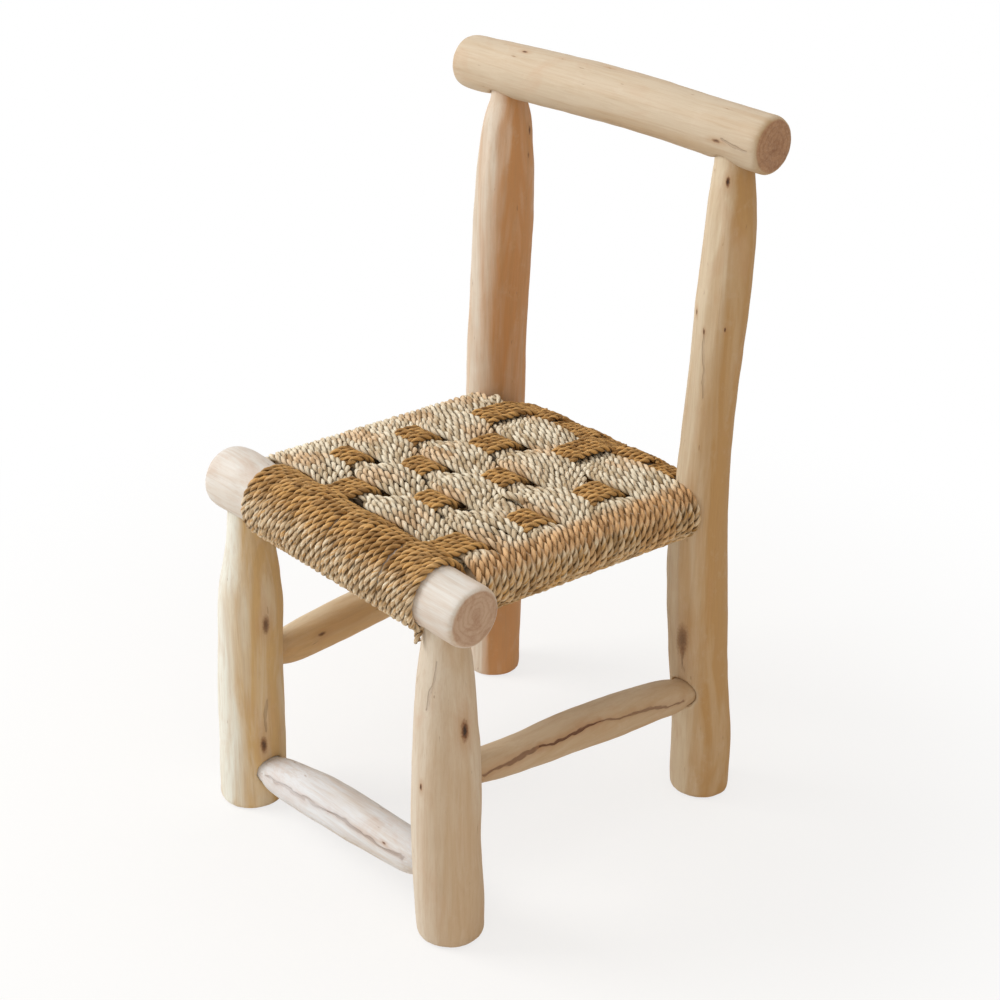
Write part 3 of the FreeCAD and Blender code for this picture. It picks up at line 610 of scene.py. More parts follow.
def random_flats(seed, count):
    """Shallow flats scattered round a log."""
    dice = np.random.default_rng(seed)
    return [(dice.uniform(0, 360), dice.uniform(*CHANCE_SHARES),
             dice.uniform(-CHANCE_LEAN, CHANCE_LEAN)) for _ in range(count)]


def whittled_top(count, turn, slope):
    """Flats round the taper at the top of an upright."""
    return [(turn + 360 * number / count, TOP_SHARE, slope) for number in range(count)]


# Each shave is a flat: the angle that it faces, the share of the radius left, and its lean
# Pale and deep are each log's colours; the last share is how far its side away from the light goes
# to deep, as painted shade
dress_log("front_leg_left", "z", "peeled_log", 1.3,
          [(-105, 0.965, 0.0), (-20, 0.96, 0.004), (70, 0.97, 0.0)]
          + whittled_top(7, 10, 0.13) + random_flats(1, 3),
          pale=(0.85, 0.86, 0.79), deep=(0.66, 0.45, 0.21), turned=0.95,
          knots=[((-84.5, -131.8, 165.4), 4.6, 0.72), ((-87.7, -137.5, 58.7), 4.2, 0.85)],
          cracks=[((-87.0, -134.5, 70.0), (-85.5, -134.0, 98.0), 0.25)])
dress_log("front_leg_right", "z", "peeled_log", 2.1,
          [(-110, 0.96, 0.003), (-48, 0.975, 0.0), (15, 0.965, -0.003)]
          + whittled_top(7, 30, 0.12) + random_flats(2, 3),
          pale=(0.74, 0.66, 0.55), deep=(0.60, 0.45, 0.30), turned=0.75,
          knots=[((129.6, -129.7, 180.2), 4.8, 1.0), ((110.5, -152.0, 135.3), 1.6, 0.9)],
          cracks=[((118.0, -150.0, 232.0), (112.0, -152.0, 196.0), 0.16)])
dress_log("back_post_left", "z", "peeled_log", 3.7,
          [(-122, 0.94, 0.0), (-38, 0.945, 0.002), (-80, 0.98, 0.0)]
          + whittled_top(7, 0, 0.10) + random_flats(3, 4),
          pale=(0.74, 0.66, 0.56), deep=(0.61, 0.31, 0.13), turned=1.0,
          knots=[((-85.7, 132.8, 486.6), 2.0, 0.8), ((-84.3, 130.9, 468.1), 1.6, 0.7)])
dress_log("back_post_right", "z", "peeled_log", 4.9,
          [(-118, 0.96, 0.0), (-62, 0.965, -0.002), (-5, 0.955, 0.0),
           (48, 0.97, 0.0)] + whittled_top(7, 22, 0.08) + random_flats(4, 4),
          pale=(0.73, 0.62, 0.46), deep=(0.52, 0.31, 0.125), turned=1.0,
          knots=[((120.8, 113.9, 501.6), 2.2, 1.0), ((105.8, 109.0, 405.7), 1.4, 0.9),
                 ((114.6, 107.3, 394.0), 1.1, 0.8), ((127.7, 113.9, 397.7), 1.1, 0.7),
                 ((114.9, 106.2, 143.8), 8.0, 0.62), ((115.6, 119.9, 83.7), 2.6, 0.8)],
          cracks=[((114.9, 107.5, 138.0), (115.6, 119.0, 86.0), 0.35),
                  ((114.0, 108.0, 395.0), (117.0, 107.0, 345.0), 0.15)])
dress_log("front_seat_rail", "x", "peeled_log", 5.2,
          [(150, 0.97, 0.0), (90, 0.975, 0.01), (130, 0.96, -0.01)],
          pale=(0.78, 0.76, 0.73), deep=(0.68, 0.55, 0.42), turned=0.45,
          end_colours=((0.36, 0.19, 0.11), (0.55, 0.39, 0.28)))
dress_log("crest_rail", "x", "peeled_log", 6.6,
          [(150, 0.97, 0.0), (95, 0.975, 0.0), (200, 0.97, 0.004),
           (120, 0.97, 0.01)] + random_flats(6, 4),
          pale=(0.64, 0.54, 0.41), deep=(0.54, 0.38, 0.22), turned=0.8,
          knots=[((-78.6, 119.0, 548.5), 1.6, 0.8), ((-0.7, 125.6, 552.1), 1.3, 0.8),
                 ((113.4, 107.6, 529.1), 2.0, 0.7)],
          cracks=[((118.0, 108.0, 531.0), (140.0, 107.8, 527.0), 0.18)],
          end_colours=((0.24, 0.105, 0.05), (0.44, 0.25, 0.14)))
dress_log("front_stretcher", "x", "stretcher_wood", 7.4,
          [(165, 0.93, 0.0), (110, 0.955, 0.01), (215, 0.96, 0.0)],
          pale=(0.82, 0.85, 0.90), deep=(0.70, 0.60, 0.48), turned=0.2,
          knots=[((59.0, -142.5, 53.0), 1.2, 0.7)],
          cracks=[((-80.0, -142.6, 38.5), (-1.3, -143.1, 48.0), 0.22),
                  ((-1.3, -143.1, 48.0), (78.3, -141.3, 49.0), 0.36)])
dress_log("side_stretcher_left", "y", "stretcher_wood", 8.8,
          [(25, 0.95, 0.0), (80, 0.96, 0.0)] + random_flats(8, 2),
          pale=(0.72, 0.58, 0.40), deep=(0.66, 0.43, 0.21), turned=0.9,
          knots=[((-97.6, -70.3, 125.5), 2.2, 0.7)])
dress_log("side_stretcher_right", "y", "stretcher_wood", 9.5,
          [(25, 0.95, 0.0), (-30, 0.95, 0.0), (85, 0.96, 0.0)],
          pale=(0.66, 0.53, 0.38), deep=(0.53, 0.37, 0.22), turned=0.85,
          cracks=[((121.2, -104.0, 127.1), (122.9, -51.6, 125.3), 0.7),
                  ((122.9, -51.6, 125.3), (124.8, 7.8, 121.5), 1.0),
                  ((124.8, 7.8, 121.5), (127.4, 98.2, 99.5), 0.6)])
# The seat's inner rails; the right one is flat outside, because its rope lies closer in
for number, (node, axis) in enumerate((("rear_seat_rail", "x"), ("side_seat_rail_left", "y"),
                                       ("side_seat_rail_right", "y"))):
    flats = [(0, 0.80, 0.0), (25, 0.84, 0.0)] if node == "side_seat_rail_right" else []
    dress_log(node, axis, "seat_rail_wood", 10.1 + number * 1.3, flats, pale=(0.68, 0.58, 0.44),
              deep=(0.56, 0.38, 0.21), turned=0.6)


# The rope

WEFT_ROPE = 5.5 * MM
WARP_ROPE = 5.1 * MM
ROPE_LAY = 14.0 * MM
PLY_SIDES = 8
RINGS_STEP = 1.25 * MM
# A ply's middle and radius, as shares of its rope
PLY_OFFSET, PLY_RADIUS = 0.245, 0.285
# Chance in a rope, and how far apart it changes: turn of the lay, tone and thickness
SLACK, SLACK_SPACING = 1.1, 30 * MM
TONE_SPACING = 6.5 * MM
THINNEST, THICKENING, THICKNESS_SPACING = 0.84, 0.30, 5 * MM
# Dark and light of the three sorts of rush, and what lies over them: flecks, and painted
# shade in the ply creases and deep inside the weave
CREAM = ((0.52, 0.39, 0.22, 1), (0.96, 0.90, 0.74, 1))
BROWN = ((0.23, 0.11, 0.028, 1), (0.68, 0.395, 0.13, 1))
RUSTY = ((0.38, 0.18, 0.055, 1), (0.86, 0.53, 0.25, 1))
RUSH_FLECK = (0.50, 0.27, 0.12, 1)
RUSH_CREASE_SHADE = (0.13, 0.075, 0.03, 1)
RUSH_WEAVE_SHADE = (0.035, 0.02, 0.01, 1)
# What each point of a rope carries for its material
MARKS = ("brown_share", "rust", "shade", "tone", "crease_shade")

# Rails under the rope: middle of the section, and where the rope's middle runs round it
FRONT_RAIL_Y = -126.73 * MM
# In millimetres: the front rail's right end, its height there, its length and its rise
RAIL_RIGHT, RAIL_LOW, RAIL_LENGTH, RAIL_RISE = 136.1, 268.1, 263.1, 3.6
FRONT_REACH = 24.4 * MM
REAR_RAIL = (126.87 * MM, 246.6 * MM)
REAR_REACH = 17.2 * MM
# Side rails, front and rear: depth, half spread, height and where the rope's middle runs
SIDE_STATIONS = (-102.8 * MM, 104.9 * MM)
SIDE_HALVES = (102.5 * MM, 106.0 * MM)
SIDE_HEIGHTS = (266.8 * MM, 251.0 * MM)
SIDE_REACHES = (18.7 * MM, 19.6 * MM)
# How much closer the rope lies on the right rail than on the left one
RIGHT_TUCK = 3.4 * MM

# The weave: edges of the weft rows and the ropes in each
ROW_EDGES = [y * MM for y in (-104.8, -74.1, -43.1, -10.6, 23.2, 62.8, 108.2)]
ROW_ROPES = (5, 5, 6, 6, 7, 7)
# How far the row edges lie further back at the left
LEFT_SETBACKS = [y * MM for y in (2.5, 1.5, 0.5, 0, 0, 0, 0)]
LEFT_FADE = (35 * MM, 100 * MM)
# Gaps beside a warp: size, how far beyond the warp's right edge, and spread. They open
# before and behind a row that goes under the warp, and before one that goes over it
FIRST_GAP = (9.0 * MM, 5.5 * MM, 8 * MM)
FRONT_GAP = (4.2 * MM, 5.5 * MM, 8 * MM)
BACK_GAP = (9.0 * MM, 6 * MM, 8.5 * MM)
OVER_GAP = (3.0 * MM, -2 * MM, 9 * MM)
# Between these distances from the middle the gaps close
GAPS_FADE = (92 * MM, 103 * MM)
# Slipped places behind a row: row, x, size and spread
HOLES = ((2, 49 * MM, 9.0 * MM, 6 * MM), (4, 64 * MM, 7.0 * MM, 10 * MM))
# How far the edge between two rows moves towards the row that goes under a warp
EDGE_SHIFT = 5.2 * MM
WEFT_DIP = 2.4 * MM
# Ropes closer together than this ride over and under each other by the rise
TIGHT_PITCH = 0.86 * WEFT_ROPE
TIGHT_RISE = 3.4 * MM
# Where a weft rope turns down over the side rails
SIDE_LINE = 104 * MM
# The warps: their middles at these depths, from the front rail to the rear rail
WARP_DEPTHS = [y * MM for y in (-127, -96, -60, 0, 80, 116)]
WARP_MIDDLES = [[x * MM for x in line] for line in (
    (-66.7, -68.5, -73.0, -74.0, -68.5, -66.5),
    (-27.0, -28.5, -29.0, -29.5, -26.5, -26.0),
    (22.0, 21.0, 19.5, 21.0, 19.0, 19.0),
    (80.0, 81.0, 81.5, 81.0, 77.0, 73.4))]
WARP_ROPES = 5
WARP_PITCH = 4.75 * MM
WARP_HALF = WARP_ROPES * WARP_PITCH / 2
WARP_LIFT = 3.3 * MM
# Half the length in which a warp passes from over a row to under the next
WARP_SLOPE = 5 * MM
# The windings: turns between the warps, and at the right end of the front rail, whose
# rope ends at this x with a part of a turn and a loose end
WRAP_TURNS = (4, 5, 6)
END_TURNS, END_PART = 2, 0.55
WRAP_END = 99.0 * MM
LOOSE_END = ((99.0, -139.0, 251.5), (99.6, -143.5, 249.0), (100.5, -146.0, 246.5),
             (100.9, -145.5, 243.0))
# The rear winding swells this far into the valley behind the last row, which lies this way
VALLEY_BULGE = 9.5 * MM
VALLEY_WAY = math.radians(140)
# Control points of the routes, in each of their parts
SIDE_POINTS, TOP_POINTS, BOTTOM_POINTS = 7, 42, 24
WARP_POINTS, FRONT_TURN_POINTS, REAR_TURN_POINTS = 50, 15, 11
WRAP_POINTS = 12
# Strays that show on the seat: a knotted end in the last row and a slipped loop in the
# third. A place in millimetres, and the steps of the rope from there
STRAYS = {
    5: ((-88.0, 100.5, 272.5),
        ((-7, -2, -2), (-3, 0, 1), (1, 2, 2), (4, 0, 3), (2, -3, 3), (-1, -1, 4), (2, 2, 5),
         (6, 1, 3), (9, 0, 1))),
    2: ((50.0, -11.5, 284.5),
        ((-13, -1, -2), (-8, -3.5, 0), (-2, -5, 1), (4, -4, 1.2), (8, -1, 1), (13, 0, -2))),
}

random = np.random.default_rng(7)


def chance(size):
    """A random distance of up to this many millimetres, either way."""
    return random.uniform(-size, size) * MM


def front_rail_height(x):
    """The front rail's middle: its left end is the higher."""
    return (RAIL_LOW + RAIL_RISE * (RAIL_RIGHT - x / MM) / RAIL_LENGTH) * MM


def rear_rail_height(x):
    """The rear rail's middle: it is level, so x changes nothing."""
    return REAR_RAIL[1]


def side_rail(y):
    """Half spread, height and rope reach of the side rails at a depth."""
    return (np.interp(y, SIDE_STATIONS, SIDE_HALVES), np.interp(y, SIDE_STATIONS, SIDE_HEIGHTS),
            np.interp(y, SIDE_STATIONS, SIDE_REACHES))


def smooth_route(points):
    """Points along the NURBS line through a route's control points, evenly spaced."""
    line = bpy.data.curves.new("route", "CURVE")
    line.dimensions = "3D"
    line.resolution_u = 5
    spline = line.splines.new("NURBS")
    spline.points.add(len(points) - 1)
    for control, point in zip(spline.points, points):
        control.co = (*point, 1.0)
    spline.order_u = 3
    spline.use_endpoint_u = True
    carrier = bpy.data.objects.new("route", line)
    bpy.context.collection.objects.link(carrier)
    bpy.context.view_layer.update()
    evaluated = carrier.evaluated_get(bpy.context.evaluated_depsgraph_get())
    shape = bpy.data.meshes.new_from_object(evaluated)
    dense = np.array([v.co for v in shape.vertices])
    bpy.data.objects.remove(carrier)
    bpy.data.curves.remove(line)
    bpy.data.meshes.remove(shape)
    steps = np.linalg.norm(np.diff(dense, axis=0), axis=1)
    travelled = np.concatenate([[0], np.cumsum(steps)])
    count = max(4, int(travelled[-1] / RINGS_STEP))
    even = np.linspace(0, travelled[-1], count)
    return np.stack([np.interp(even, travelled, dense[:, i]) for i in range(3)], axis=1), even


def frames_along(points):
    """Tangents and steady cross directions along a route."""
    tangents = np.gradient(points, axis=0)
    tangents /= np.linalg.norm(tangents, axis=1)[:, None]
    first = np.cross(tangents[0], (0.3, 0.5, 0.81))
    normals = [first / np.linalg.norm(first)]
    for tangent in tangents[1:]:
        normal = normals[-1] - tangent * np.dot(normals[-1], tangent)
        normals.append(normal / np.linalg.norm(normal))
    normals = np.array(normals)
    return tangents, normals, np.cross(tangents, normals)


def wander(travelled, spacing):
    """A smooth random line, between 0 and 1, with a new value at each spacing."""
    count = int(travelled[-1] / spacing) + 3
    return np.interp(travelled / spacing, np.arange(count), random.uniform(0, 1, count))


def twist_rope(points, travelled, rope, colours):
    """The two plies of a rope along a route: vertices, faces, texture places and marks."""
    tangents, normals, sides = frames_along(points)
    count = len(points)
    phase = random.uniform(0, 2 * math.pi)
    around = np.arange(PLY_SIDES) * 2 * math.pi / PLY_SIDES
    wave = 2 * math.pi / ROPE_LAY
    offset, thickness = PLY_OFFSET * rope, PLY_RADIUS * rope
    verts, faces, places, marks = [], [], [], []
    slack = SLACK * wander(travelled, SLACK_SPACING)
    for ply in (0, 1):
        angle = travelled * wave + phase + slack + math.pi * ply
        out = normals * np.cos(angle)[:, None] + sides * np.sin(angle)[:, None]
        turn = sides * np.cos(angle)[:, None] - normals * np.sin(angle)[:, None]
        run = tangents + turn * (wave * offset)
        run /= np.linalg.norm(run, axis=1)[:, None]
        cross = np.cross(run, out)
        tone = wander(travelled, TONE_SPACING)
        fullness = THINNEST + THICKENING * wander(travelled, THICKNESS_SPACING)
        radius = thickness * fullness
        # A ply is a little flattened, and wider along the rope's skin
        ring = (out[:, None, :] * (np.cos(around)[None, :, None] * 0.94)
                + cross[:, None, :] * (np.sin(around)[None, :, None] * 1.08))
        skin = (points + out * offset)[:, None, :] + ring * radius[:, None, None]
        base = sum(len(part) for part in verts)
        verts.append(skin.reshape(-1, 3))
        rows = np.arange(count - 1)[:, None] * PLY_SIDES
        column = np.arange(PLY_SIDES)[None, :]
        following = (column + 1) % PLY_SIDES
        quads = np.stack([rows + column, rows + following, rows + PLY_SIDES + following,
                          rows + PLY_SIDES + column], axis=-1).reshape(-1, 4) + base
        faces.extend(quads.tolist())
        u = np.stack([column, column + 1, column + 1, column], axis=-1) / PLY_SIDES
        v_low = (travelled[:-1] / ROPE_LAY)[:, None]
        v_high = (travelled[1:] / ROPE_LAY)[:, None]
        v = np.stack([v_low, v_low, v_high, v_high], axis=-1)
        u_all = np.broadcast_to(u, (count - 1, PLY_SIDES, 4))
        v_all = np.broadcast_to(v, (count - 1, PLY_SIDES, 4))
        # Each rope and ply has its own part of the rush pattern
        spread = np.stack([u_all + phase * 5 + ply * 3, v_all + phase * 7], axis=-1)
        places.append(spread.reshape(-1, 2))
        for start, flip in ((0, True), ((count - 1) * PLY_SIDES, False)):
            cap = [base + start + k for k in range(PLY_SIDES)]
            faces.append(cap[::-1] if flip else cap)
            places.append(np.zeros((PLY_SIDES, 2)))
        # Painted shade: 0 on a ply's outer side and 1 on its inner side, where it meets the other
        # ply
        crease_shade = np.broadcast_to((1 - np.cos(around)) / 2, (count, PLY_SIDES))
        marks.append([np.repeat(mark, PLY_SIDES) for mark in (*colours, tone)] + [crease_shade.ravel()])
    return np.concatenate(verts), faces, np.concatenate(places), np.concatenate(marks, axis=1)


def rope_piece(name, routes, rope, colours_of, material, node):
    """One object of several twisted ropes that replaces a plain band or winding."""
    verts, faces, places, marks = [], [], [], []
    total = 0
    for route in routes:
        points, travelled = smooth_route(route)
        part = twist_rope(points, travelled, rope, colours_of(points))
        verts.append(part[0])
        faces.extend([[corner + total for corner in face] for face in part[1]])
        places.append(part[2])
        marks.append(part[3])
        total += len(part[0])
    mesh = bpy.data.meshes.new(name)
    mesh.from_pydata(np.concatenate(verts).tolist(), [], faces)
    layer = mesh.uv_layers.new(name="ply")
    layer.data.foreach_set("uv", np.concatenate(places).astype(np.float32).ravel())
    for label, values in zip(MARKS, np.concatenate(marks, axis=1)):
        attribute = mesh.attributes.new(label, "FLOAT", "POINT")
        attribute.data.foreach_set("value", values.astype(np.float32))
    piece = bpy.data.objects.new(name, mesh)
    bpy.context.collection.objects.link(piece)
    pick(piece)
    bpy.ops.object.shade_smooth()
    mesh.materials.append(material)
    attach(piece, "root")
    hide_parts(node)


def rope_material(name):
    """Twisted rush: cream, golden or rusty blades, with painted shade in the creases between the
    plies and deep inside the weave.
    """
    material, w, rush = new_material(name)
    place = w.node("UVMap", uv_map="ply").outputs["UV"]
    brown_share, rust, shade, tone, crease_shade = [
        w.node("Attribute", attribute_name=label).outputs["Fac"] for label in MARKS]
    # Blades lie along the ply with a slight slant
    slanted = w.node("Mapping")
    slanted.inputs["Rotation"].default_value = (0, 0, 0.25)
    slanted.inputs["Scale"].default_value = (7.0, 0.6, 1.0)
    w.put(place, slanted.inputs["Vector"])
    blades = w.noise(slanted.outputs["Vector"], 1.7, 3.0, 0.65)
    fleck = w.noise(w.stretch(place, (2.4, 1.1, 1.0)), 1.6, 2.0, 0.6)
    blend = w.math("ADD", w.product(blades, 0.6), w.product(tone, 0.4))
    light = w.ramp(blend, 0.28, 0.58)
    cream = w.mix(light, *CREAM)
    cream = w.tint(cream, w.ramp(fleck, 0.55, 0.67), 0.45, RUSH_FLECK)
    brown = w.mix(light, *BROWN)
    rusty = w.mix(light, *RUSTY)
    # Where brown and cream blades mix, from dye and from the painted shade down the weft sides,
    # each ply has its own share of the brown
    uneven = w.product(w.math("SUBTRACT", fleck, 0.5), 2.6)
    mixed = w.product(w.product(brown_share, w.rest(brown_share)), 4.0)
    uneven_brown_share = w.math("ADD", brown_share, w.product(uneven, mixed), clamp=True)
    colour = w.mix(uneven_brown_share, cream, brown)
    colour = w.mix(rust, colour, rusty)
    # Painted shade in the creases where the two plies meet
    deep = w.ramp(crease_shade, 0.26, 0.72)
    colour = w.tint(colour, deep, 0.66, RUSH_CREASE_SHADE)
    # Painted shade deep inside the weave, under the rows and in the gaps between them
    colour = w.tint(colour, shade, 0.92, RUSH_WEAVE_SHADE)
    w.put(colour, rush.inputs["Base Color"])
    rush.inputs["Roughness"].default_value = 0.7
    rush.inputs["Specular IOR Level"].default_value = 0.3
    w.bump(w.product(blades, 0.0007), 0.8, rush)
    return material


def smooth_step(value, low, high):
    """0 below low and 1 above high, with a soft S between them."""
    share = np.clip((value - low) / (high - low), 0, 1)
    return share * share * (3 - 2 * share)


def is_warp_over(column, row):
    """Whether a warp passes over a row; both count from 0, from left and front."""
    return (column % 2 == 0) == (row % 2 == 1)


def warp_middle(column, y):
    """The x of a warp's middle at a depth."""
    return np.interp(y, WARP_DEPTHS, WARP_MIDDLES[column])


def weft_wave(x, row):
    """1 where a row lies over a warp, -1 where it lies under one, smooth between them."""
    y = (ROW_EDGES[row] + ROW_EDGES[row + 1]) / 2
    stops = [-side_rail(y)[0]] + [warp_middle(column, y) for column in range(4)] + [side_rail(y)[0]]
    levels = [0] + [-1 if is_warp_over(column, row) else 1 for column in range(4)] + [0]
    for (low, high), (before, after) in zip(zip(stops, stops[1:]), zip(levels, levels[1:])):
        if x <= high:
            break
    flat = 7 * MM
    return before + (after - before) * float(smooth_step(x, low + flat, high - flat))


def row_edge(number, x):
    """The edge in front of a row at x: it moves towards the row that goes under."""
    edge = ROW_EDGES[number] + LEFT_SETBACKS[number] * float(smooth_step(-x, *LEFT_FADE))
    if 0 < number < len(ROW_ROPES):
        edge += EDGE_SHIFT * (weft_wave(x, number - 1) - weft_wave(x, number)) / 2
    return edge


def bell(x, middle, spread):
    """1 at the middle, falling away smoothly on both sides."""
    return math.exp(-((x - middle) / spread) ** 2)


def gap(x, edge, size, beyond, spread):
    """How wide one gap is at x, beside a warp with this right edge."""
    return size * bell(x, edge + beyond, spread)


def row_gaps(row, x):
    """The gaps in front of a row and behind it, where it comes up again beside a warp."""
    y = (ROW_EDGES[row] + ROW_EDGES[row + 1]) / 2
    front = back = 0.0
    for column in range(4):
        edge = warp_middle(column, y) + WARP_HALF
        if is_warp_over(column, row):
            front += gap(x, edge, *(FIRST_GAP if row == 0 else FRONT_GAP))
            if row < len(ROW_ROPES) - 1:
                back += gap(x, edge, *BACK_GAP)
        elif row > 0:
            front += gap(x, edge, *OVER_GAP)
    for hole_row, middle, size, spread in HOLES:
        if hole_row == row:
            back += size * bell(x, middle, spread)
    inside = 1 - float(smooth_step(abs(x), *GAPS_FADE))
    return front * inside, back * inside


def weft_place(row, share, x):
    """The depth of a weft rope at x; share tells where it lies in its row."""
    front, back = row_gaps(row, x)
    low = row_edge(row, x) + front
    high = row_edge(row + 1, x) - back
    return low + (high - low) * share


def bunching(row, x):
    """How tightly a row's ropes are pressed together at x: 0 where they lie side by side."""
    pitch = (weft_place(row, 1, x) - weft_place(row, 0, x)) / ROW_ROPES[row]
    return max(0.0, 1 - pitch / TIGHT_PITCH)


def warp_offset(x, y, column):
    """How far a warp rises over or dips under the wefts at y."""
    rise = 0.0
    for row in range(len(ROW_ROPES)):
        low, high = row_edge(row, x), row_edge(row + 1, x)
        away, half = abs(y - (low + high) / 2), (high - low) / 2
        inside = float(1 - smooth_step(away, half - WARP_SLOPE, half + WARP_SLOPE))
        rise += (WARP_LIFT if is_warp_over(column, row) else -WARP_LIFT) * inside
    return rise


def swell(step):
    """How far out a spline's control points lie, to run at radius 1 in steps of an angle."""
    return 2 / (math.cos(step / 2) + (3 + math.cos(step)) / 4)


def weft_route(row):
    """One row's rope: wound over the side rails, a pitch further back each turn."""
    turns = ROW_ROPES[row]
    quarter = math.pi / 2
    bend = np.linspace(-quarter, quarter, SIDE_POINTS)
    puff = swell(bend[1] - bend[0])
    route = []
    for turn in range(turns):
        share = (turn + 0.5) / turns
        jitter = chance(0.4)
        ends = []
        for sign in (-1, 1):
            y = weft_place(row, share, sign * SIDE_LINE) + jitter
            ends.append((y, *side_rail(y)))
        (left_y, left_half, left_z, left_reach), (right_y, right_half, right_z, right_reach) = ends
        if turn == 0:
            route.append((-left_half * 0.5, left_y, left_z - left_reach - 1 * MM))
            route.append((-left_half * 0.8, left_y, left_z - left_reach))
        # Up round the left rail
        for angle in bend[:-1]:
            grown = left_reach * (puff if angle > bend[0] else 1)
            route.append((-left_half - grown * math.cos(angle), left_y,
                          left_z + grown * math.sin(angle)))
        # Over the top
        for part in np.linspace(-1, 1, TOP_POINTS):
            x = part * left_half - max(0.0, part) * RIGHT_TUCK
            y = weft_place(row, share, x) + jitter + chance(0.3)
            _, height, reach = side_rail(y)
            z = height + reach + WEFT_DIP * weft_wave(x, row) + chance(0.25)
            z += (TIGHT_RISE if turn % 2 else -TIGHT_RISE) * bunching(row, x)
            route.append((x, y, z))
        # Down round the right rail
        right_half -= RIGHT_TUCK
        for angle in bend[::-1][1:]:
            grown = right_reach * (puff if angle > bend[0] else 1)
            route.append((right_half + grown * math.cos(angle), right_y,
                          right_z + grown * math.sin(angle)))
        # Back underneath, moving on by a pitch
        onward = (turn + 1.5) / turns if turn < turns - 1 else share
        for part in np.linspace(1, -1, BOTTOM_POINTS)[1:-1]:
            x = part * left_half
            y = weft_place(row, share + (onward - share) * (1 - part) / 2, x) + jitter
            _, height, reach = side_rail(y)
            route.append((x, y, height - reach - WEFT_DIP * weft_wave(x, row)))
    return route


def touch(centre, radius, outside, sign):
    """Angle at which a line from a point outside touches a circle in the YZ plane."""
    away = (outside[0] - centre[0], outside[1] - centre[1])
    return math.atan2(away[1], away[0]) + sign * math.acos(radius / math.hypot(*away))


def round_rail(centre, radius, before, after, count):
    """Points of a loop's way round a rail, between two points of the loop, as pairs."""
    first = touch(centre, radius, before, -1)
    last = touch(centre, radius, after, 1)
    if last > first:
        last -= 2 * math.pi
    angles = np.linspace(first, last, count)
    puff = swell(abs(angles[1] - angles[0]))
    return [(centre[0] + radius * puff * math.cos(angle),
             centre[1] + radius * puff * math.sin(angle)) for angle in angles]


def warp_route(column, number):
    """One warp rope: a loop over the front and rear rails, through the rows."""
    place = number - (WARP_ROPES - 1) / 2
    stations = np.linspace(ROW_EDGES[0] + 1 * MM, ROW_EDGES[-1] - 1 * MM, WARP_POINTS)

    def own_x(y):
        """This rope's x at a depth."""
        return float(warp_middle(column, y)) + place * WARP_PITCH

    top, bottom = [], []
    for y in stations:
        _, height, reach = side_rail(y)
        rise = warp_offset(own_x(y), y, column)
        top.append((y, height + reach + rise))
        bottom.append((y, height - reach - rise))
    bottom.reverse()
    front = (FRONT_RAIL_Y, front_rail_height(own_x(FRONT_RAIL_Y)))
    loop = round_rail(front, FRONT_REACH, bottom[-1], top[0], FRONT_TURN_POINTS) + top
    loop += round_rail(REAR_RAIL, REAR_REACH, top[-1], bottom[0], REAR_TURN_POINTS) + bottom
    drift = chance(0.2)
    return [(own_x(y) + drift + chance(0.2), y, z) for y, z in loop]


def wrap_route(y, height_at, reach, low_x, high_x, turns, extra=0.0, bulge=0.0):
    """Rope wound round a rail between two warps; extra is a last part of a turn, and bulge
    how far it swells towards the last row."""
    pitch = (high_x - low_x) / turns
    grown = reach * swell(2 * math.pi / WRAP_POINTS)
    route = []
    for step in range(int((turns + extra) * WRAP_POINTS) + 1):
        share = step / WRAP_POINTS
        angle = math.pi / 2 + share * 2 * math.pi
        x = low_x + min(share, turns) * pitch + chance(0.15)
        out = grown + bulge * max(0.0, math.cos(angle - VALLEY_WAY)) ** 2
        route.append((x, y + out * math.cos(angle), height_at(x) + out * math.sin(angle)))
    return route


def weave_shade(points):
    """1 where a rope runs deep inside the weave, where it is painted in shade."""
    x, y, z = points.T
    half, height, reach = side_rail(y)
    deep = (smooth_step(height + reach - z, 1.4 * MM, 3.2 * MM)
            * smooth_step(z, height, height + 6 * MM))
    inside = smooth_step(half - np.abs(x), 8 * MM, 16 * MM)
    behind_rail = smooth_step(y, ROW_EDGES[0] - 8 * MM, ROW_EDGES[0] - 4 * MM)
    before_rail = 1 - smooth_step(y, ROW_EDGES[-1], ROW_EDGES[-1] + 4 * MM)
    return deep * inside * behind_rail * before_rail


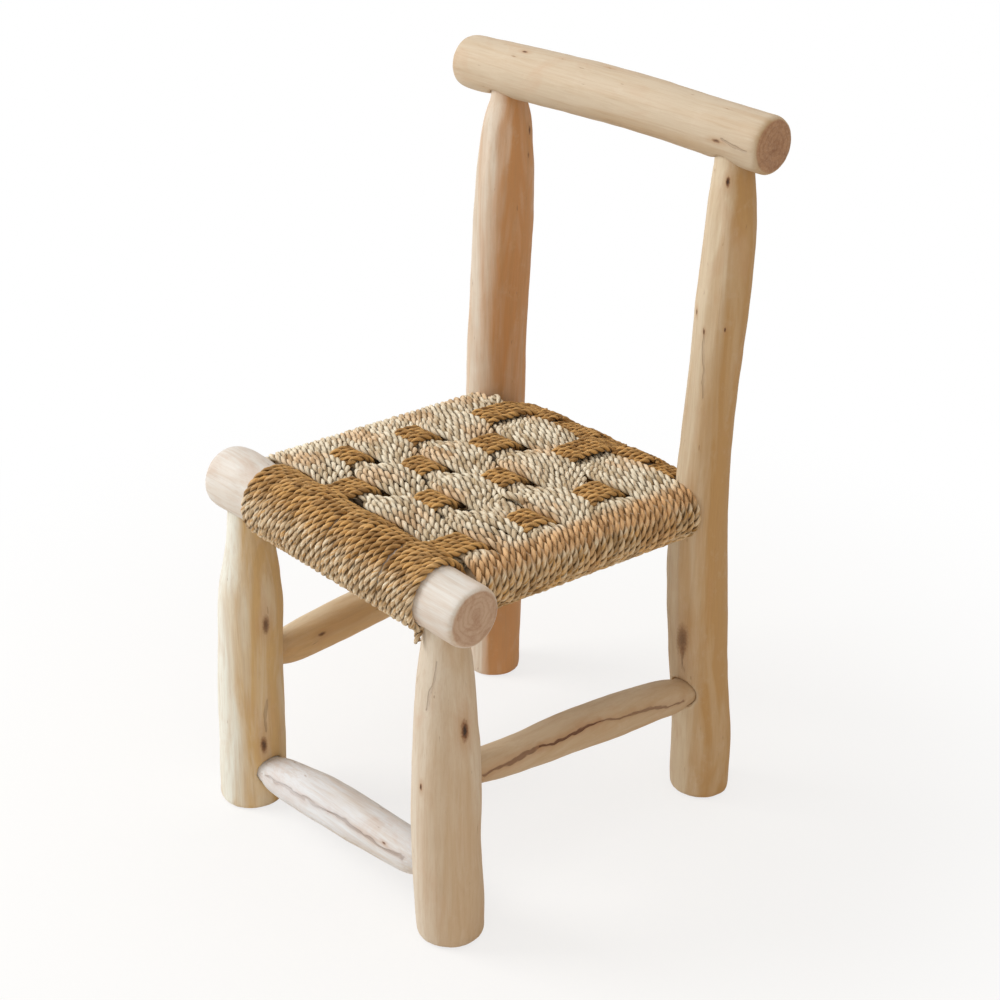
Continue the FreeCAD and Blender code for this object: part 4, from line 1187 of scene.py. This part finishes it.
def weft_colours(points):
    """Cream on top, rusty on the right shoulder, and straw and brown down the sides, partly the
    rope's colour and partly painted shade. The angle runs round a side rail: 0 is outwards and
    a quarter turn is up."""
    x, y, z = points.T
    half, height, _ = side_rail(y)
    angle = np.arctan2(z - height, np.abs(x) - half)
    beyond = np.abs(x) > half - 9 * MM
    shoulder = smooth_step(angle, 0.55, 0.85) * (1 - smooth_step(angle, 1.35, 1.95))
    side = 1 - smooth_step(angle, 0.40, 0.85)
    patch = np.sin(x / (31 * MM) + y / (17 * MM)) * np.sin(x / (13 * MM) - y / (23 * MM) + 1.3)
    travelled = np.concatenate([[0], np.cumsum(np.linalg.norm(np.diff(points, axis=0), axis=1))])
    streak = wander(travelled, 24 * MM)
    # Down the sides the brown is partly the rope's colour and partly painted shade
    brown_share = np.where(beyond, 0.10 + 0.60 * side, 0.05 + 0.08 * streak)
    rust = np.where(beyond & (x > 0), 0.85 * shoulder, 0.0)
    rust = rust + 0.45 * smooth_step(patch + streak, 0.75, 1.3)
    return brown_share, np.clip(rust, 0, 0.9), weave_shade(points)


def warp_colours(points):
    """Golden brown over the seat, straw and cream mixed in down the front of the rail."""
    x, y, z = points.T
    low = 1 - smooth_step(z, front_rail_height(x) + 6 * MM, front_rail_height(x) + 22 * MM)
    front = y < FRONT_RAIL_Y + 10 * MM
    brown_share = np.where(front, 0.95 - 0.52 * low, 0.97)
    return brown_share, 0.08 * np.ones(len(points)), weave_shade(points)


weft_rush = rope_material("weft_rush")
warp_rush = rope_material("warp_rush")


def strays(row):
    """The routes of the strays in a row."""
    if row not in STRAYS:
        return []
    place, steps = STRAYS[row]
    return [[Vector(place) * MM + Vector(step) * MM for step in steps]]


for row in range(len(ROW_ROPES)):
    rope_piece(f"weft_rope_{row + 1}", [weft_route(row)] + strays(row), WEFT_ROPE, weft_colours,
               weft_rush, f"weft_band_{row + 1}")

for column, letter in enumerate("abcd"):
    rope_piece(f"warp_rope_{letter}", [warp_route(column, number) for number in range(WARP_ROPES)],
               WARP_ROPE, warp_colours, warp_rush, f"warp_band_{letter}")

rails = (("front", FRONT_RAIL_Y, front_rail_height, FRONT_REACH, 0.0),
         ("rear", REAR_RAIL[0], rear_rail_height, REAR_REACH, VALLEY_BULGE))
for number, turns in enumerate(WRAP_TURNS, start=1):
    for label, y, height_at, reach, bulge in rails:
        low_x = float(warp_middle(number - 1, y)) + WARP_HALF
        high_x = float(warp_middle(number, y)) - WARP_HALF
        rope_piece(f"{label}_wrap_rope_{number}",
                   [wrap_route(y, height_at, reach, low_x, high_x, turns, bulge=bulge)],
                   WARP_ROPE, warp_colours, warp_rush, f"{label}_wrap_{number}")
last_x = float(warp_middle(3, FRONT_RAIL_Y)) + WARP_HALF
rope_piece("front_wrap_rope_4",
           [wrap_route(FRONT_RAIL_Y, front_rail_height, FRONT_REACH, last_x, WRAP_END, END_TURNS,
                       extra=END_PART), [Vector(place) * MM for place in LOOSE_END]],
           WARP_ROPE, warp_colours, warp_rush, "front_wrap_4")
